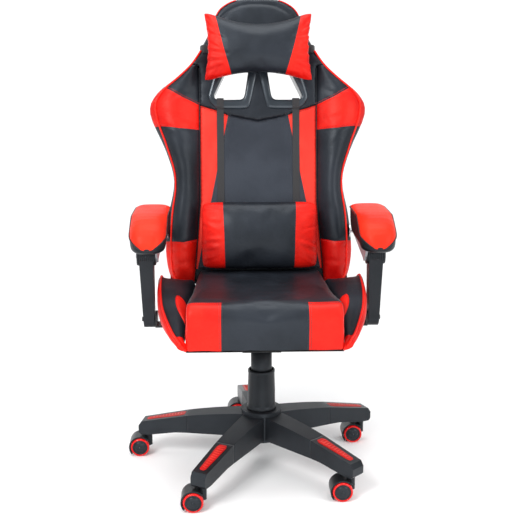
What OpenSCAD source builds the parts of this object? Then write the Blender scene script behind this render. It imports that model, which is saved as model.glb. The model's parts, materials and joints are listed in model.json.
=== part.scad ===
// Gaming chair: five-arm base on casters, gas lift, tilt mechanism, reclining back,
// and armrests that stay level on a parallel linkage.
// Millimetres. +Z is up, -Y is the front, and the origin is on the floor under the column.

/* [Base] */
// Distance from the column axis to each caster stem
arm_reach = 310; // [280:1:340]
// Width of a base arm at its tip
arm_tip_w = 40; // [36:1:48]
// Width of a base arm at the hub
arm_root_w = 62; // [54:1:70]
// Depth of a base arm at its tip
arm_tip_h = 35; // [32:1:40]
// Rise of an arm's top from its tip to the hub
arm_rise = 47; // [35:1:60]
// Diameter of the hub
hub_d = 106; // [104:1:116]
// Turn of the first arm from straight ahead, in degrees
base_turn = -29; // [-36:1:36]

/* [Casters] */
// Diameter of the caster wheels
wheel_d = 50; // [46:1:56]
// Width of one wheel of a pair
wheel_w = 16; // [14:1:20]
// Distance from the stem to the wheel axle
caster_trail = 22; // [19:1:25]
// Diameter of the caster stem
stem_d = 11; // [10:1:12]
// Thickness of the tread ring
tread_t = 5; // [4:1:7]

/* [Column] */
// Outside diameter of the gas tube
tube_d = 50; // [46:1:54]
// Diameter of the gas cylinder
cylinder_d = 28; // [26:1:32]
// Diameter of the lower cover at its foot
cover_d = 74; // [68:1:84]
// Height of the mechanism's underside above the floor
mech_z = 312; // [306:1:330]

/* [Seat] */
// Half width of the cushion at the front
seat_front_hw = 192; // [180:1:210]
// Half width of the cushion at the back
seat_rear_hw = 168; // [160:1:172]
// Distance from the column axis to the front of the cushion
seat_front_y = 262; // [230:1:290]
// Distance from the column axis to the rear of the cushion
seat_rear_y = 167; // [150:1:168]
// Thickness of the cushion at its front crest
seat_t = 112; // [100:1:125]
// Height of the wings' tips above the seat's underside
wing_h = 109; // [95:1:120]
// Diameter of the tilt axle
tilt_axle_d = 12; // [10:1:14]

/* [Back] */
// Lean of the back at its upright stop, in degrees
back_lean = 12; // [8:1:16]
// Length of the back
back_len = 782; // [700:1:860]
// Half width at the hips
hip_hw = 256; // [240:1:258]
// Half width at the waist
waist_hw = 232; // [215:1:240]
// Half width at the shoulders
shoulder_hw = 296; // [260:1:310]
// Half width of the centre panel
panel_hw = 160; // [140:1:170]
// How far the side bolsters stand in front of the back's middle plane
bolster_d = 45; // [35:1:55]
// How far the centre panel stands in front of the middle plane
panel_d = 12; // [8:1:16]
// Diameter of the back's frame tubes
frame_tube_d = 20; // [16:1:22]
// Diameter of the recline hinge pins
hinge_pin_d = 12; // [10:1:14]

/* [Armrests] */
// Distance from the chair's middle to the centre of an arm post
post_x = 293; // [290:1:310]
// Height of an arm post between its pivots
post_rise = 162; // [140:1:180]
// Width of an armrest pad
pad_w = 90; // [80:1:100]
// Length of an armrest pad
pad_len = 260; // [230:1:280]
// Diameter of the armrest pivot pins
arm_pin_d = 12; // [10:1:14]

/* [Pillows] */
// Half width of the lumbar pillow
lumbar_hw = 160; // [140:1:165]
// Height of the lumbar pillow
lumbar_h = 178; // [150:1:190]
// Half width of the head pillow
head_hw = 142; // [120:1:150]
// Height of the head pillow
head_h = 176; // [150:1:185]

/* [Hidden] */

$fn = 48;
run = 0.05;    // radial clearance of a running fit
gap = 0.3;     // least gap between pieces that move apart
slack = 0.6;   // gap between soft pieces

// Casters
wheel_r = wheel_d / 2;
web_hw = 10.3;
wheel_in = web_hw + gap;
hood_in = wheel_r + 1.5;
hood_t = 3.5;
hood_hw = wheel_in + wheel_w - 2;
stem_top = 88;
stem_housing_d = 20;
axle_d = 8;

// Base
arm_tip_z = wheel_d + 10;
tip_top = arm_tip_z + arm_tip_h;
root_top = tip_top + arm_rise;
hub_top = root_top + 8;
hub_bottom = arm_tip_z + 10;
tip_end = arm_reach + 22;
arm_wall = 4.5;
insert_in = arm_reach - 104;
insert_out = arm_reach + 2;
insert_t = 3;
top_slope = (arm_rise * 0.58) / (tip_end - insert_in + 6);

// Column
tube_bottom = 62;
tube_top = 255;
tube_wall = 2;
bushing_len = 80;
cover_h = 107;
cover_wall = 2.5;
upper_cover_d = tube_d + 5;
upper_cover_low = 212;
cylinder_low = 134;
cylinder_top = mech_z + 29;
rod_d = 10;
piston_top = 275;
lift_up = 40;

// Tilt mechanism
housing_hw = 50;
housing_wall = 4;
tilt_y = -30;
tilt_z = 364;
plate_z = 382;
plate_t = 4;
cheek_x = housing_hw + gap;
lever_pivot_x = -housing_hw + 2;
lever_pivot_z = mech_z + 41;
lever_rod_d = 8;
knob_y = -112;
knob_z = 361;
knob_d = 34;

// Seat
seat_low = plate_z + plate_t + 2;
frame_low = plate_z + plate_t + 1.2;
frame_h = 16;
pocket_z = frame_low + frame_h + 9;
rail_x = 130;
rail_w = 20;
crossbar_y = 80;
bolt_x = 75;
rear_tube_y = 176;

// Back: points on the back are [x, s], with s measured up the back from its foot
back_y = 175;
back_z = 440;
cover_back_d = 40;
cover_shell = 4;
layer_front = 3;
frame_depth = arm_pin_d / 2 + 8;
neck_hw = 138;
crown_hw = 113;
s_hip = 95;
s_waist = 285;
s_shoulder = back_len - 312;
s_neck = back_len - 100;
bolster_top_s = back_len - 182;
panel_top_s = back_len - 298;
panel_low_s = 45;
head_d = 20;
seam_low = 178;

// Recline hinge and armrest linkage, as [y, z]
hinge = [185, 423];
post_lean = 18;
arm_low = [-10, 398];
arm_top = [arm_low[0] + post_lean, arm_low[1] + post_rise];
arm_back = [hinge[0] + post_lean, hinge[1] + post_rise];
hinge_plate_x = 245;
hinge_plate_t = 5;
post_w = 36;
knuckle_w = 48;
post_r = 24;
post_in = post_x - post_w / 2;
knuckle_in = post_x - knuckle_w / 2;
beam_t = 5.4;
beam_in = knuckle_in - gap - beam_t;
pad_x = 277;
pad_low = arm_top[1] + post_r + 8.5;
pad_top = 683;

// ---------------------------------------------------------------- shared shapes

// Smooth value between control points [position, value], for the back's outline
function blend(a, b, c, d, t) =
    0.5 * (2 * b + (c - a) * t + (2 * a - 5 * b + 4 * c - d) * t * t
    + (3 * b - a - 3 * c + d) * t * t * t);

function outline_point(k, i, t) =
    let (n = len(k) - 1, p0 = k[max(i - 1, 0)], p1 = k[i], p2 = k[i + 1], p3 = k[min(i + 2, n)])
    [blend(p0[0], p1[0], p2[0], p3[0], t), blend(p0[1], p1[1], p2[1], p3[1], t)];

function smooth_points(k, steps) = concat(
    [for (i = [0:len(k) - 2]) for (j = [0:steps - 1]) outline_point(k, i, j / steps)],
    [k[len(k) - 1]]);

function mirrored(pts) = concat(pts, [for (i = [len(pts) - 1:-1:0]) [-pts[i][0], pts[i][1]]]);

function grow(pts, c, dx, dy) = [for (p = pts) [p[0] + (p[0] > c ? dx : -dx), p[1] + dy]];

// Height on the back at part k of the 185 parts between the waist and the shoulders
function above_waist(k) = (s_waist * (185 - k) + s_shoulder * k) / 185;

// Half outline of the back, as [x, s]
outline_keys = [
    [hip_hw - 36, 3], [hip_hw - 12, 26], [hip_hw, s_hip], [hip_hw - 8, 190],
    [waist_hw, s_waist], [waist_hw + 22, above_waist(85)], [shoulder_hw, s_shoulder],
    [shoulder_hw - 17, s_shoulder + 54], [(shoulder_hw + neck_hw) / 2 + 3, bolster_top_s - 27],
    [neck_hw + 42, bolster_top_s + 13],
    [neck_hw, s_neck], [crown_hw, back_len - 37], [crown_hw - 28, back_len - 12],
    [crown_hw - 56, back_len - 1]];

module back_outline(inset = 0) {
    pts = smooth_points(outline_keys, 3);
    polygon(mirrored([for (p = pts) [p[0] - inset, min(max(p[1], 3 + inset), back_len - inset)]]));
}

// Stands children, drawn as [x, s], on the leaning back from depth d0 to depth d1
module on_back(d0, d1) {
    translate([0, back_y, back_z])
        rotate([-back_lean, 0, 0])
            rotate([90, 0, 0])
                translate([0, 0, d0])
                    linear_extrude(d1 - d0) children();
}

// Places children, drawn in [x, s, depth], on the leaning back
module in_back() {
    translate([0, back_y, back_z])
        rotate([-back_lean, 0, 0])
            rotate([90, 0, 0]) children();
}

// Extrudes children, drawn as [y, z], across the chair from x0 to x1
module across(x0, x1) {
    translate([x0, 0, 0])
        rotate([90, 0, 90])
            linear_extrude(x1 - x0) children();
}

// Round bar across the chair at [y, z]
module pin_across(at, d, x0, x1) {
    across(x0, x1) translate(at) circle(d = d);
}

module ring(d_out, d_in, z0, z1) {
    translate([0, 0, z0]) difference() {
        cylinder(d = d_out, h = z1 - z0);
        translate([0, 0, -1]) cylinder(d = d_in, h = z1 - z0 + 2);
    }
}

// Round tube between two points, with a slightly swollen joint at its far end
module tube(p, q, d) {
    v = q - p;
    l = norm(v);
    translate(p)
        rotate([0, acos(v[2] / l), atan2(v[1], v[0])]) {
            cylinder(d = d, h = l);
            translate([0, 0, l]) sphere(d = d + 1);
        }
}

// Closed solid through equal rings of points
module loft(rings) {
    n = len(rings[0]);
    m = len(rings);
    walls = [for (i = [0:m - 2]) for (j = [0:n - 1])
        [i * n + j, i * n + (j + 1) % n, (i + 1) * n + (j + 1) % n, (i + 1) * n + j]];
    caps = [[for (j = [n - 1:-1:0]) j], [for (j = [0:n - 1]) (m - 1) * n + j]];
    polyhedron([for (r = rings) each r], concat(walls, caps), 4);
}

// Full round cushion section, as [depth, height], with blunt edges
function pillow_section(t, h, n) = [for (i = [0:n - 1])
    let (a = 360 * i / n, c = cos(a), s = sin(a))
    [t / 2 * sign(c) * pow(abs(c), 0.8), h / 2 * sign(s) * pow(abs(s), 0.6)]];

module both_sides() {
    children();
    mirror([1, 0, 0]) children();
}

// Direction of base arm i, counted round from the first
function arm_angle(i) = base_turn + 72 * (i - 1);

module at_arm(i) {
    rotate([0, 0, arm_angle(i) - 90]) children();
}

function stem_at(i) = [arm_reach * sin(arm_angle(i)), -arm_reach * cos(arm_angle(i)), 0];

module at_caster(i) {
    a = arm_angle(i);
    translate([arm_reach * sin(a), -arm_reach * cos(a), 0]) children();
}

// ---------------------------------------------------------------- base and casters

// Side of an arm's top face, from the hub out to the tip
function arm_top_z(r) = r > insert_in - 6
    ? tip_top + (tip_end - r) * top_slope
    : let (t = (insert_in - 6 - r) / (insert_in - 6), z0 = tip_top + arm_rise * 0.58)
      z0 + (root_top - z0) * t * (1.6 - 0.6 * t);

function arm_low_z(r) = arm_tip_z + 14 * min(1, max(0, (tip_end - 26 - r) / 84))
    + 3 * max(0, 1 - r / insert_in);

module arm_side() {
    polygon(concat(
        [for (r = [0:34:204]) [r, arm_top_z(r)]],
        [[tip_end - 8, arm_top_z(tip_end - 8)], [tip_end, tip_top - 10], [tip_end, arm_tip_z + 6]],
        [[tip_end - 6, arm_tip_z]],
        [for (r = [306:-25.5:0]) [r, arm_low_z(r)]]));
}

module arm_plan(extra) {
    polygon([[0, arm_root_w / 2 + extra], [tip_end, arm_tip_w / 2 + extra],
        [tip_end, -arm_tip_w / 2 - extra], [0, -arm_root_w / 2 - extra]]);
}

// The hollow under an arm, open below
module arm_core() {
    r0 = hub_d / 2 + 4;
    r1 = arm_reach - 22;
    step = (r1 - r0) / 4;
    intersection() {
        translate([0, 40, 0]) rotate([90, 0, 0]) linear_extrude(80)
            polygon([for (k = [0:4]) [r0 + k * step, arm_top_z(r0 + k * step) - arm_wall - 4],
                for (k = [4:-1:0]) [r0 + k * step, arm_low_z(r0 + k * step) - 10]]);
        linear_extrude(root_top) arm_plan(-arm_wall);
    }
}

module insert_plan() {
    polygon([[insert_in, 9], [insert_in + 10, 13.5], [insert_out - 5, 8.5], [insert_out, 5],
        [insert_out, -5], [insert_out - 5, -8.5], [insert_in + 10, -13.5], [insert_in, -9]]);
}

module insert_block(drop, rise) {
    intersection() {
        translate([0, 40, 0]) rotate([90, 0, 0]) linear_extrude(80)
            polygon([for (r = [insert_in - 5, insert_out + 5]) [r, arm_top_z(r) - drop],
                for (r = [insert_out + 5, insert_in - 5]) [r, arm_top_z(r) + rise]]);
        linear_extrude(root_top + 20) insert_plan();
    }
}

module base_star() {
    color("#1b1b1d") difference() {
        union() {
            for (i = [1:5]) rotate([0, 0, arm_angle(i) - 90]) intersection() {
                translate([0, arm_root_w, 0]) rotate([90, 0, 0])
                    linear_extrude(arm_root_w * 2) arm_side();
                linear_extrude(root_top + 10) arm_plan(0);
            }
            translate([0, 0, hub_bottom]) cylinder(d = hub_d, h = hub_top - hub_bottom);
        }
        translate([0, 0, hub_bottom - 30]) cylinder(d = tube_d, h = hub_top);
        for (i = [1:5]) {
            at_arm(i) insert_block(insert_t, 20);
            at_arm(i) arm_core();
            at_caster(i) translate([0, 0, arm_tip_z - 5])
                cylinder(d = stem_d + 2 * run, h = stem_top - arm_tip_z + 6);
        }
    }
}

module base_inserts() {
    color("#c81e1e") for (i = [1:5]) at_arm(i) insert_block(insert_t, 1);
}

module caster_fork(i) {
    at = stem_at(i);
    color("#161618") translate(at) difference() {
        union() {
            translate([0, 0, wheel_r]) cylinder(d = stem_housing_d, h = arm_tip_z - 3 - wheel_r);
            translate([0, 0, arm_tip_z - 10]) cylinder(d = stem_d, h = stem_top - arm_tip_z + 10);
            translate([-caster_trail, web_hw, wheel_r]) rotate([90, 0, 0])
                cylinder(d = wheel_d - 14, h = 2 * web_hw);
            translate([-caster_trail, -web_hw, wheel_r])
                cube([caster_trail, 2 * web_hw, wheel_r - 4]);
            translate([-caster_trail, hood_hw, wheel_r]) rotate([90, 0, 0]) intersection() {
                ring(2 * (hood_in + hood_t), 2 * hood_in, 0, 2 * hood_hw);
                rotate([0, 0, 40]) translate([-wheel_d, 0, -1]) cube([2 * wheel_d, wheel_d, 80]);
            }
        }
        translate([-caster_trail, 40, wheel_r]) rotate([90, 0, 0])
            cylinder(d = axle_d + 2 * run, h = 80);
    }
}

module caster_wheels(i) {
    color("#202022") translate(stem_at(i)) translate([-caster_trail, 0, wheel_r]) {
        rotate([90, 0, 0]) translate([0, 0, -hood_hw]) cylinder(d = axle_d, h = 2 * hood_hw);
        for (m = [0, 1]) mirror([0, m, 0]) rotate([-90, 0, 0])
            ring(wheel_d - 2 * tread_t, axle_d, wheel_in, wheel_in + wheel_w);
    }
}

module caster_treads(i) {
    color("#d02020") translate(stem_at(i)) translate([-caster_trail, 0, wheel_r])
        for (m = [0, 1]) mirror([0, m, 0]) rotate([-90, 0, 0])
            ring(wheel_d, wheel_d - 2 * tread_t, wheel_in, wheel_in + wheel_w);
}

// ---------------------------------------------------------------- gas lift column

module gas_tube() {
    color("#2a2a2c") difference() {
        translate([0, 0, tube_bottom]) cylinder(d = tube_d, h = tube_top - tube_bottom);
        translate([0, 0, tube_bottom + 4]) cylinder(d = tube_d - 2 * tube_wall, h = tube_top);
        translate([0, 0, tube_bottom - 1]) cylinder(d = rod_d + 2 * run, h = 10);
    }
}

module column_bushing() {
    color("#e8e4da")
        ring(tube_d - 2 * tube_wall, cylinder_d + 2 * run, tube_top - bushing_len, tube_top);
}

module thrust_bearing() {
    color("#b9bcc0") ring(30, rod_d + 1.2, tube_bottom + 4, tube_bottom + 10);
}

module cover_lower() {
    color("#1b1b1d") difference() {
        translate([0, 0, hub_top]) cylinder(d1 = cover_d, d2 = cover_d - 4, h = cover_h);
        translate([0, 0, hub_top - 1])
            cylinder(d1 = cover_d - 2 * cover_wall, d2 = cover_d - 4 - 2 * cover_wall, h = cover_h + 2);
    }
}

module gas_rod() {
    color("#c9ccd0") {
        translate([0, 0, tube_bottom - 4]) cylinder(d = rod_d, h = piston_top - tube_bottom + 4);
        translate([0, 0, tube_bottom - 4]) cylinder(d = rod_d + 6, h = 4 - gap);
        translate([0, 0, tube_bottom + 10 + gap]) cylinder(d = 26, h = 5);
        translate([0, 0, piston_top - 13]) cylinder(d = cylinder_d - 4 - 2 * run, h = 13);
    }
}

module gas_cylinder() {
    color("#3a3c40") {
        difference() {
            translate([0, 0, cylinder_low]) cylinder(d = cylinder_d, h = cylinder_top - cylinder_low);
            translate([0, 0, cylinder_low + 12])
                cylinder(d = cylinder_d - 4, h = cylinder_top - cylinder_low - 20);
            translate([0, 0, cylinder_low - 1]) cylinder(d = rod_d + 2 * run, h = 14);
        }
        translate([0, 0, cylinder_top]) cylinder(d = 8, h = 2);
    }
}

module cover_upper() {
    color("#1b1b1d") ring(upper_cover_d, upper_cover_d - 3, upper_cover_low, mech_z);
}

// ---------------------------------------------------------------- tilt mechanism

module housing_side() {
    polygon([[-105, tilt_z - 16], [-60, tilt_z - 16], [-36, mech_z], [42, mech_z],
        [42, mech_z + 36], [0, tilt_z - 4], [tilt_y + 14, tilt_z + 12], [-105, tilt_z + 12]]);
}

module mech_housing() {
    color("#232426") difference() {
        union() {
            difference() {
                across(-housing_hw, housing_hw) housing_side();
                across(-housing_hw + housing_wall, housing_hw - housing_wall)
                    polygon([[-101, tilt_z - 12], [-58, tilt_z - 12], [-34, mech_z + 4],
                        [38, mech_z + 4], [38, 420], [-101, 420]]);
            }
            translate([0, 0, mech_z]) cylinder(d = cylinder_d + 16, h = 27);
            for (m = [0, 1]) mirror([0, m, 0])
                translate([lever_pivot_x - 5, 8, mech_z + 30]) cube([10, 6, 18]);
        }
        translate([0, 0, mech_z - 1]) cylinder(d = cylinder_d, h = 60);
        translate([lever_pivot_x - 20, -7, mech_z + 30]) cube([40, 14, 60]);
        translate([lever_pivot_x, 30, lever_pivot_z]) rotate([90, 0, 0])
            cylinder(d = 6 + 2 * run, h = 60);
        pin_across([tilt_y, tilt_z], tilt_axle_d, -80, 80);
        translate([0, -90, knob_z]) rotate([90, 0, 0]) cylinder(d = 10 + 2 * run, h = 40);
    }
}

module tilt_axle() {
    color("#b9bcc0") {
        pin_across([tilt_y, tilt_z], tilt_axle_d, -62, 62);
        both_sides() pin_across([tilt_y, tilt_z], tilt_axle_d + 6, 62, 65);
    }
}

module tension_spring() {
    coils = 6;
    color("#8d9095") for (k = [0:coils - 1]) translate([0, -95 + k * 7, knob_z])
        rotate([90, 0, 0]) rotate_extrude() translate([7.2, 0]) circle(d = 3);
}

module tension_knob() {
    color("#1b1b1d") translate([0, knob_y, knob_z]) rotate([90, 0, 0]) {
        difference() {
            cylinder(d = knob_d, h = 24);
            for (k = [0:7]) rotate([0, 0, 45 * k]) translate([knob_d / 2 + 4, 0, 4])
                cylinder(d = 12, h = 30);
        }
        translate([0, 0, -60]) cylinder(d = 10, h = 61);
    }
}

module lift_lever() {
    z = lever_pivot_z;
    color("#1b1b1d") {
        translate([lever_pivot_x, 14, z]) rotate([90, 0, 0]) cylinder(d = 6, h = 28);
        tube([2, 0, z], [-70, 0, z], lever_rod_d);
        tube([-70, 0, z], [-92, 0, z - 8], lever_rod_d);
        tube([-92, 0, z - 8], [-170, 0, z - 8], lever_rod_d);
        translate([-212, -13, z - 12]) cube([50, 26, 8]);
    }
}

module cheek() {
    across(cheek_x, cheek_x + 4) difference() {
        polygon([[-62, plate_z], [-62, plate_z - 6], [tilt_y - 14, tilt_z - 12],
            [tilt_y + 12, tilt_z - 12], [tilt_y + 20, plate_z - 6], [tilt_y + 20, plate_z]]);
        translate([tilt_y, tilt_z]) circle(d = tilt_axle_d + 2 * run);
    }
}

module seat_plate() {
    color("#232426") {
        difference() {
            translate([-100, -98, plate_z]) cube([200, 196, plate_t]);
            for (x = [-bolt_x, bolt_x]) for (y = [-crossbar_y, crossbar_y])
                translate([x, y, plate_z - 1]) cylinder(d = 8.4, h = plate_t + 2);
        }
        both_sides() cheek();
    }
}

// ---------------------------------------------------------------- seat

module bar(x0, x1, y0, y1) {
    translate([x0, y0, frame_low]) cube([x1 - x0, y1 - y0, frame_h]);
}

module seat_bolt_places() {
    for (x = [-bolt_x, bolt_x]) for (y = [-crossbar_y, crossbar_y])
        translate([x, y, plate_z]) children();
    for (x = [-rail_x, rail_x]) for (y = [arm_low[0] - 14, arm_low[0] + 14])
        translate([x, y, plate_z - 1.5]) children();
}

module seat_frame() {
    front = -seat_front_y + 38;
    color("#2a2a2c") difference() {
        union() {
            both_sides() bar(rail_x - rail_w / 2, rail_x + rail_w / 2, front, rear_tube_y - 8);
            bar(-rail_x - rail_w / 2, rail_x + rail_w / 2, front, front + rail_w);
            for (y = [-crossbar_y, crossbar_y])
                bar(-rail_x, rail_x, y - 13, y + 13);
            bar(-hinge_plate_x, hinge_plate_x, rear_tube_y - 8, rear_tube_y + 8);
        }
        seat_bolt_places() cylinder(d = 8, h = 60);
    }
}

module seat_webbing() {
    z = frame_low + frame_h;
    color("#3a3a3a") for (y = [-190:55:140])
        translate([-rail_x - rail_w / 2, y, z]) cube([2 * rail_x + rail_w, 38, 2]);
}

module seat_bolts() {
    color("#9a9da2") seat_bolt_places() {
        translate([0, 0, -6]) cylinder(d = 13, h = 6, $fn = 6);
        translate([0, 0, -1]) cylinder(d = 8, h = frame_h + 3);
    }
}

function cushion_hw(y) = seat_front_hw
    + (seat_rear_hw - seat_front_hw) * (y + seat_front_y) / (seat_front_y + seat_rear_y);

module cushion_plan(inset) {
    polygon([[-cushion_hw(-seat_front_y) + inset, -seat_front_y + inset],
        [cushion_hw(-seat_front_y) - inset, -seat_front_y + inset],
        [cushion_hw(seat_rear_y) - inset, seat_rear_y + (inset > 0 ? 1 : 0)],
        [-cushion_hw(seat_rear_y) + inset, seat_rear_y + (inset > 0 ? 1 : 0)]]);
}

module seat_cushion() {
    f = -seat_front_y;
    top = seat_low + seat_t;
    color("#1d1d1f") difference() {
        intersection() {
            linear_extrude(600) cushion_plan(0);
            across(-300, 300) polygon([[f + 4, seat_low], [f, seat_low + 6], [f, top - 28],
                [f + 5, top - 12], [f + 14, top - 3], [f + 27, top], [f + 90, top - 6],
                [f + 170, top - 12], [f + 260, top - 14], [seat_rear_y, top - 12],
                [seat_rear_y, seat_low]]);
        }
        translate([0, 0, seat_low - 1]) linear_extrude(pocket_z - seat_low + 1) cushion_plan(13);
    }
}

// A wing's section at one place along the seat: [y, crest x, crest height, inner height]
wing_stations = [
    [14 - seat_front_y, 205, 22, 16], [62 - seat_front_y, 224, 31, 22],
    [142 - seat_front_y, 250, 64, 46], [202 - seat_front_y, 259, 93, 67],
    [0, 262, wing_h - 3, wing_h - 33], [45, 263, wing_h, wing_h - 25], [85, 260, wing_h - 18, wing_h - 13],
    [112, 250, wing_h - 44, wing_h - 11], [124, 249, wing_h - 52, wing_h - 49],
    [148, 244, wing_h - 66, wing_h - 78]];

function wing_ring(st) =
    let (y = st[0], x = st[1], z = seat_low + st[2], in = cushion_hw(y) + slack)
    [[in, y, seat_low], [in, y, seat_low + st[3]], [x - 12, y, z - 3], [x - 4, y, z],
     [x + 2, y, z - 5], [x + 4, y, z - 0.25 * st[2]], [x - 3, y, seat_low + 0.35 * st[2]],
     [x - 14, y, seat_low]];

module wing() {
    loft([for (st = wing_stations) wing_ring(st)]);
}

module wing_right() {
    color("#c81e1e") wing();
}

module wing_left() {
    color("#c81e1e") mirror([1, 0, 0]) wing();
}

module seat_bottom_cover() {
    color("#18181a") difference() {
        translate([0, 0, plate_z + plate_t]) linear_extrude(1.2) cushion_plan(3);
        seat_bolt_places() cylinder(d = 9, h = 30);
    }
}

// ---------------------------------------------------------------- recline hinge

module hinge_plates() {
    color("#232426") both_sides() across(hinge_plate_x, hinge_plate_x + hinge_plate_t)
        difference() {
            union() {
                translate(hinge) circle(r = 24);
                polygon([[rear_tube_y - 8, frame_low], [rear_tube_y + 14, frame_low],
                    [hinge[0] + 22, hinge[1] - 8], [hinge[0] - 22, hinge[1] - 8]]);
            }
            translate(hinge) circle(d = hinge_pin_d);
        }
}

module hinge_pins() {
    end = hinge_plate_x + 26;
    color("#b9bcc0") {
        pin_across(hinge, hinge_pin_d, 237, hinge_plate_x + 16);
        pin_across(hinge, hinge_pin_d, -end, -237);
        both_sides() pin_across(hinge, hinge_pin_d + 7, 232.5, 237);
    }
}

module hinge_covers() {
    x0 = hinge_plate_x + hinge_plate_t;
    color("#1b1b1d") both_sides() across(x0, x0 + 11.5) difference() {
        union() {
            translate(hinge) circle(r = 33);
            polygon([[rear_tube_y - 14, frame_low - 2], [rear_tube_y + 20, frame_low - 2],
                [hinge[0] + 32, hinge[1] - 6], [hinge[0] - 32, hinge[1] - 6]]);
        }
        translate(hinge) circle(d = hinge_pin_d);
    }
}

module recline_lever() {
    x0 = -hinge_plate_x - hinge_plate_t - 20;
    color("#1b1b1d") across(x0, x0 + 8) difference() {
        union() {
            translate(hinge) circle(d = 30);
            polygon([[hinge[0] + 2, hinge[1] + 13], [hinge[0] + 2, hinge[1] - 13],
                [hinge[0] - 70, hinge[1] - 3], [hinge[0] - 70, hinge[1] + 17]]);
            translate([hinge[0] - 70, hinge[1] + 7]) circle(d = 22);
        }
        translate(hinge) circle(d = hinge_pin_d + 2 * run);
    }
}

module arm_mounts() {
    t = 5;
    x1 = post_in - 3;
    z0 = plate_z - 1.5;
    color("#232426") both_sides() {
        difference() {
            union() {
                translate([rail_x - 14, arm_low[0] - 22, z0]) cube([x1 - rail_x + 14, 44, t]);
                across(x1 - t, x1) {
                    translate(arm_low) circle(r = 22);
                    translate([arm_low[0] - 22, z0]) square([44, arm_low[1] - z0]);
                }
            }
            for (y = [arm_low[0] - 14, arm_low[0] + 14])
                translate([rail_x, y, z0 - 1]) cylinder(d = 8.4, h = t + 2);
        }
        pin_across(arm_low, arm_pin_d, x1, post_in + post_w - 4);
    }
}

// ---------------------------------------------------------------- back

function seam_x(s) = s > 230 ? panel_hw : panel_hw + (seam_low - panel_hw) * (230 - s) / 230;

module panel_region(grown) {
    polygon([[-seam_x(3) - grown, 0], [-panel_hw - grown, 230], [-panel_hw - grown, bolster_top_s],
        [panel_hw + grown, bolster_top_s], [panel_hw + grown, 230], [seam_x(3) + grown, 0]]);
}

// Harness opening on the right, its trim's rim and its sleeve, as [x, s]
opening_s = back_len - 274;
function from_opening(pts) = [for (p = pts) [p[0], opening_s + p[1]]];
hole_pts = from_opening([[46, 0], [114, 0], [122, 10], [84, 87], [78, 94], [31, 94], [25, 88], [37, 8]]);
rim_pts = from_opening([[31, -19], [114, -19], [136, 6], [101, 102], [93, 110], [11, 110], [3, 101],
    [22, 5]]);
sleeve_pts = [for (i = [0:len(hole_pts) - 1]) hole_pts[i] + 0.4 * (rim_pts[i] - hole_pts[i])];

module back_panel() {
    color("#2b2b2e") on_back(-layer_front, panel_d) intersection() {
        panel_region(0);
        translate([-300, panel_low_s]) square([600, panel_top_s - panel_low_s]);
    }
}

// Room for the arm stud and its plate in the back's sides
module stud_room() {
    both_sides() {
        pin_across(arm_back, arm_pin_d + 1, 190, 300);
        pin_across(arm_back, 43, hip_hw - 9, 300);
    }
}

module bolster(side) {
    color("#c81e1e") difference() {
        on_back(-layer_front, bolster_d) difference() {
            intersection() {
                back_outline();
                translate([side > 0 ? 0 : -500, 0]) square([500, bolster_top_s]);
            }
            panel_region(slack);
        }
        stud_room();
    }
}

module bolster_left() {
    bolster(-1);
}

module bolster_right() {
    bolster(1);
}

module headrest_pad() {
    color("#1d1d1f") on_back(-layer_front, head_d - 5) difference() {
        intersection() {
            back_outline();
            union() {
                translate([-500, bolster_top_s + slack]) square([1000, 400]);
                translate([-panel_hw, panel_top_s + slack])
                    square([2 * panel_hw, bolster_top_s - panel_top_s]);
            }
        }
        polygon(sleeve_pts);
        mirror([1, 0]) polygon(sleeve_pts);
    }
}

module back_cover() {
    color("#1d1d1f") difference() {
        on_back(-cover_back_d, -layer_front) back_outline();
        on_back(-cover_back_d + cover_shell, 0) back_outline(6);
        on_back(-cover_back_d - 1, 0) {
            polygon(sleeve_pts);
            mirror([1, 0]) polygon(sleeve_pts);
        }
        stud_room();
        in_back() translate([-400, -1, -30]) cube([800, 12, 40]);
        both_sides() in_back() translate([225, -1, -30]) cube([60, 61, 40]);
    }
}

module bezels() {
    color("#6b6e73") both_sides() {
        on_back(-cover_back_d - 3, head_d - 5) difference() {
            polygon(sleeve_pts);
            polygon(hole_pts);
        }
        on_back(head_d - 5, head_d - 2) difference() {
            polygon(rim_pts);
            polygon(hole_pts);
        }
    }
}

// Centre line of the right frame tube, as [x, s]
frame_path = [[hinge_plate_x - 30, 8], [waist_hw - 27, s_waist],
    [waist_hw - 5, above_waist(115)], [waist_hw - 8, s_shoulder], [panel_hw + 2, bolster_top_s - 40],
    [neck_hw + 4, bolster_top_s + 15], [crown_hw - 10, s_neck + 18],
    [crown_hw - 34, back_len - 32]];

module back_tubes() {
    n = len(frame_path) - 1;
    d = -frame_depth - frame_tube_d / 2 + 10;
    both_sides() for (k = [0:n - 1])
        tube([frame_path[k][0], frame_path[k][1], d],
            [frame_path[k + 1][0], frame_path[k + 1][1], d], frame_tube_d);
    top = frame_path[n];
    for (c = [[211, 75], [waist_hw - 26, s_waist + 20], [waist_hw - 8, s_shoulder - 12], top])
        translate([-c[0], c[1], d]) rotate([0, 90, 0])
            cylinder(d = frame_tube_d - 4, h = 2 * c[0]);
}

module back_frame() {
    x1 = hinge_plate_x - 1;
    x0 = x1 - 5;
    color("#2a2a2c") difference() {
        union() {
            in_back() back_tubes();
            both_sides() across(x0, x1) {
                translate(hinge) circle(r = 18);
                translate(hinge) rotate(-back_lean) translate([-9.5, 0]) square([18, 80]);
            }
            both_sides() across(x0 - 24, x0)
                translate(hinge) rotate(-back_lean) translate([-9, 24]) square([16, 52]);
        }
        both_sides() pin_across(hinge, hinge_pin_d + 2 * run, x0 - 1, x1 + 1);
    }
}

module arm_studs() {
    color("#b9bcc0") both_sides() {
        pin_across(arm_back, arm_pin_d, 206, beam_in + beam_t + 3);
        pin_across(arm_back, 40, hip_hw - 8, hip_hw - 5);
        pin_across(arm_back, arm_pin_d + 8, beam_in + beam_t + gap + 0.2, beam_in + beam_t + 4);
    }
}

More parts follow.
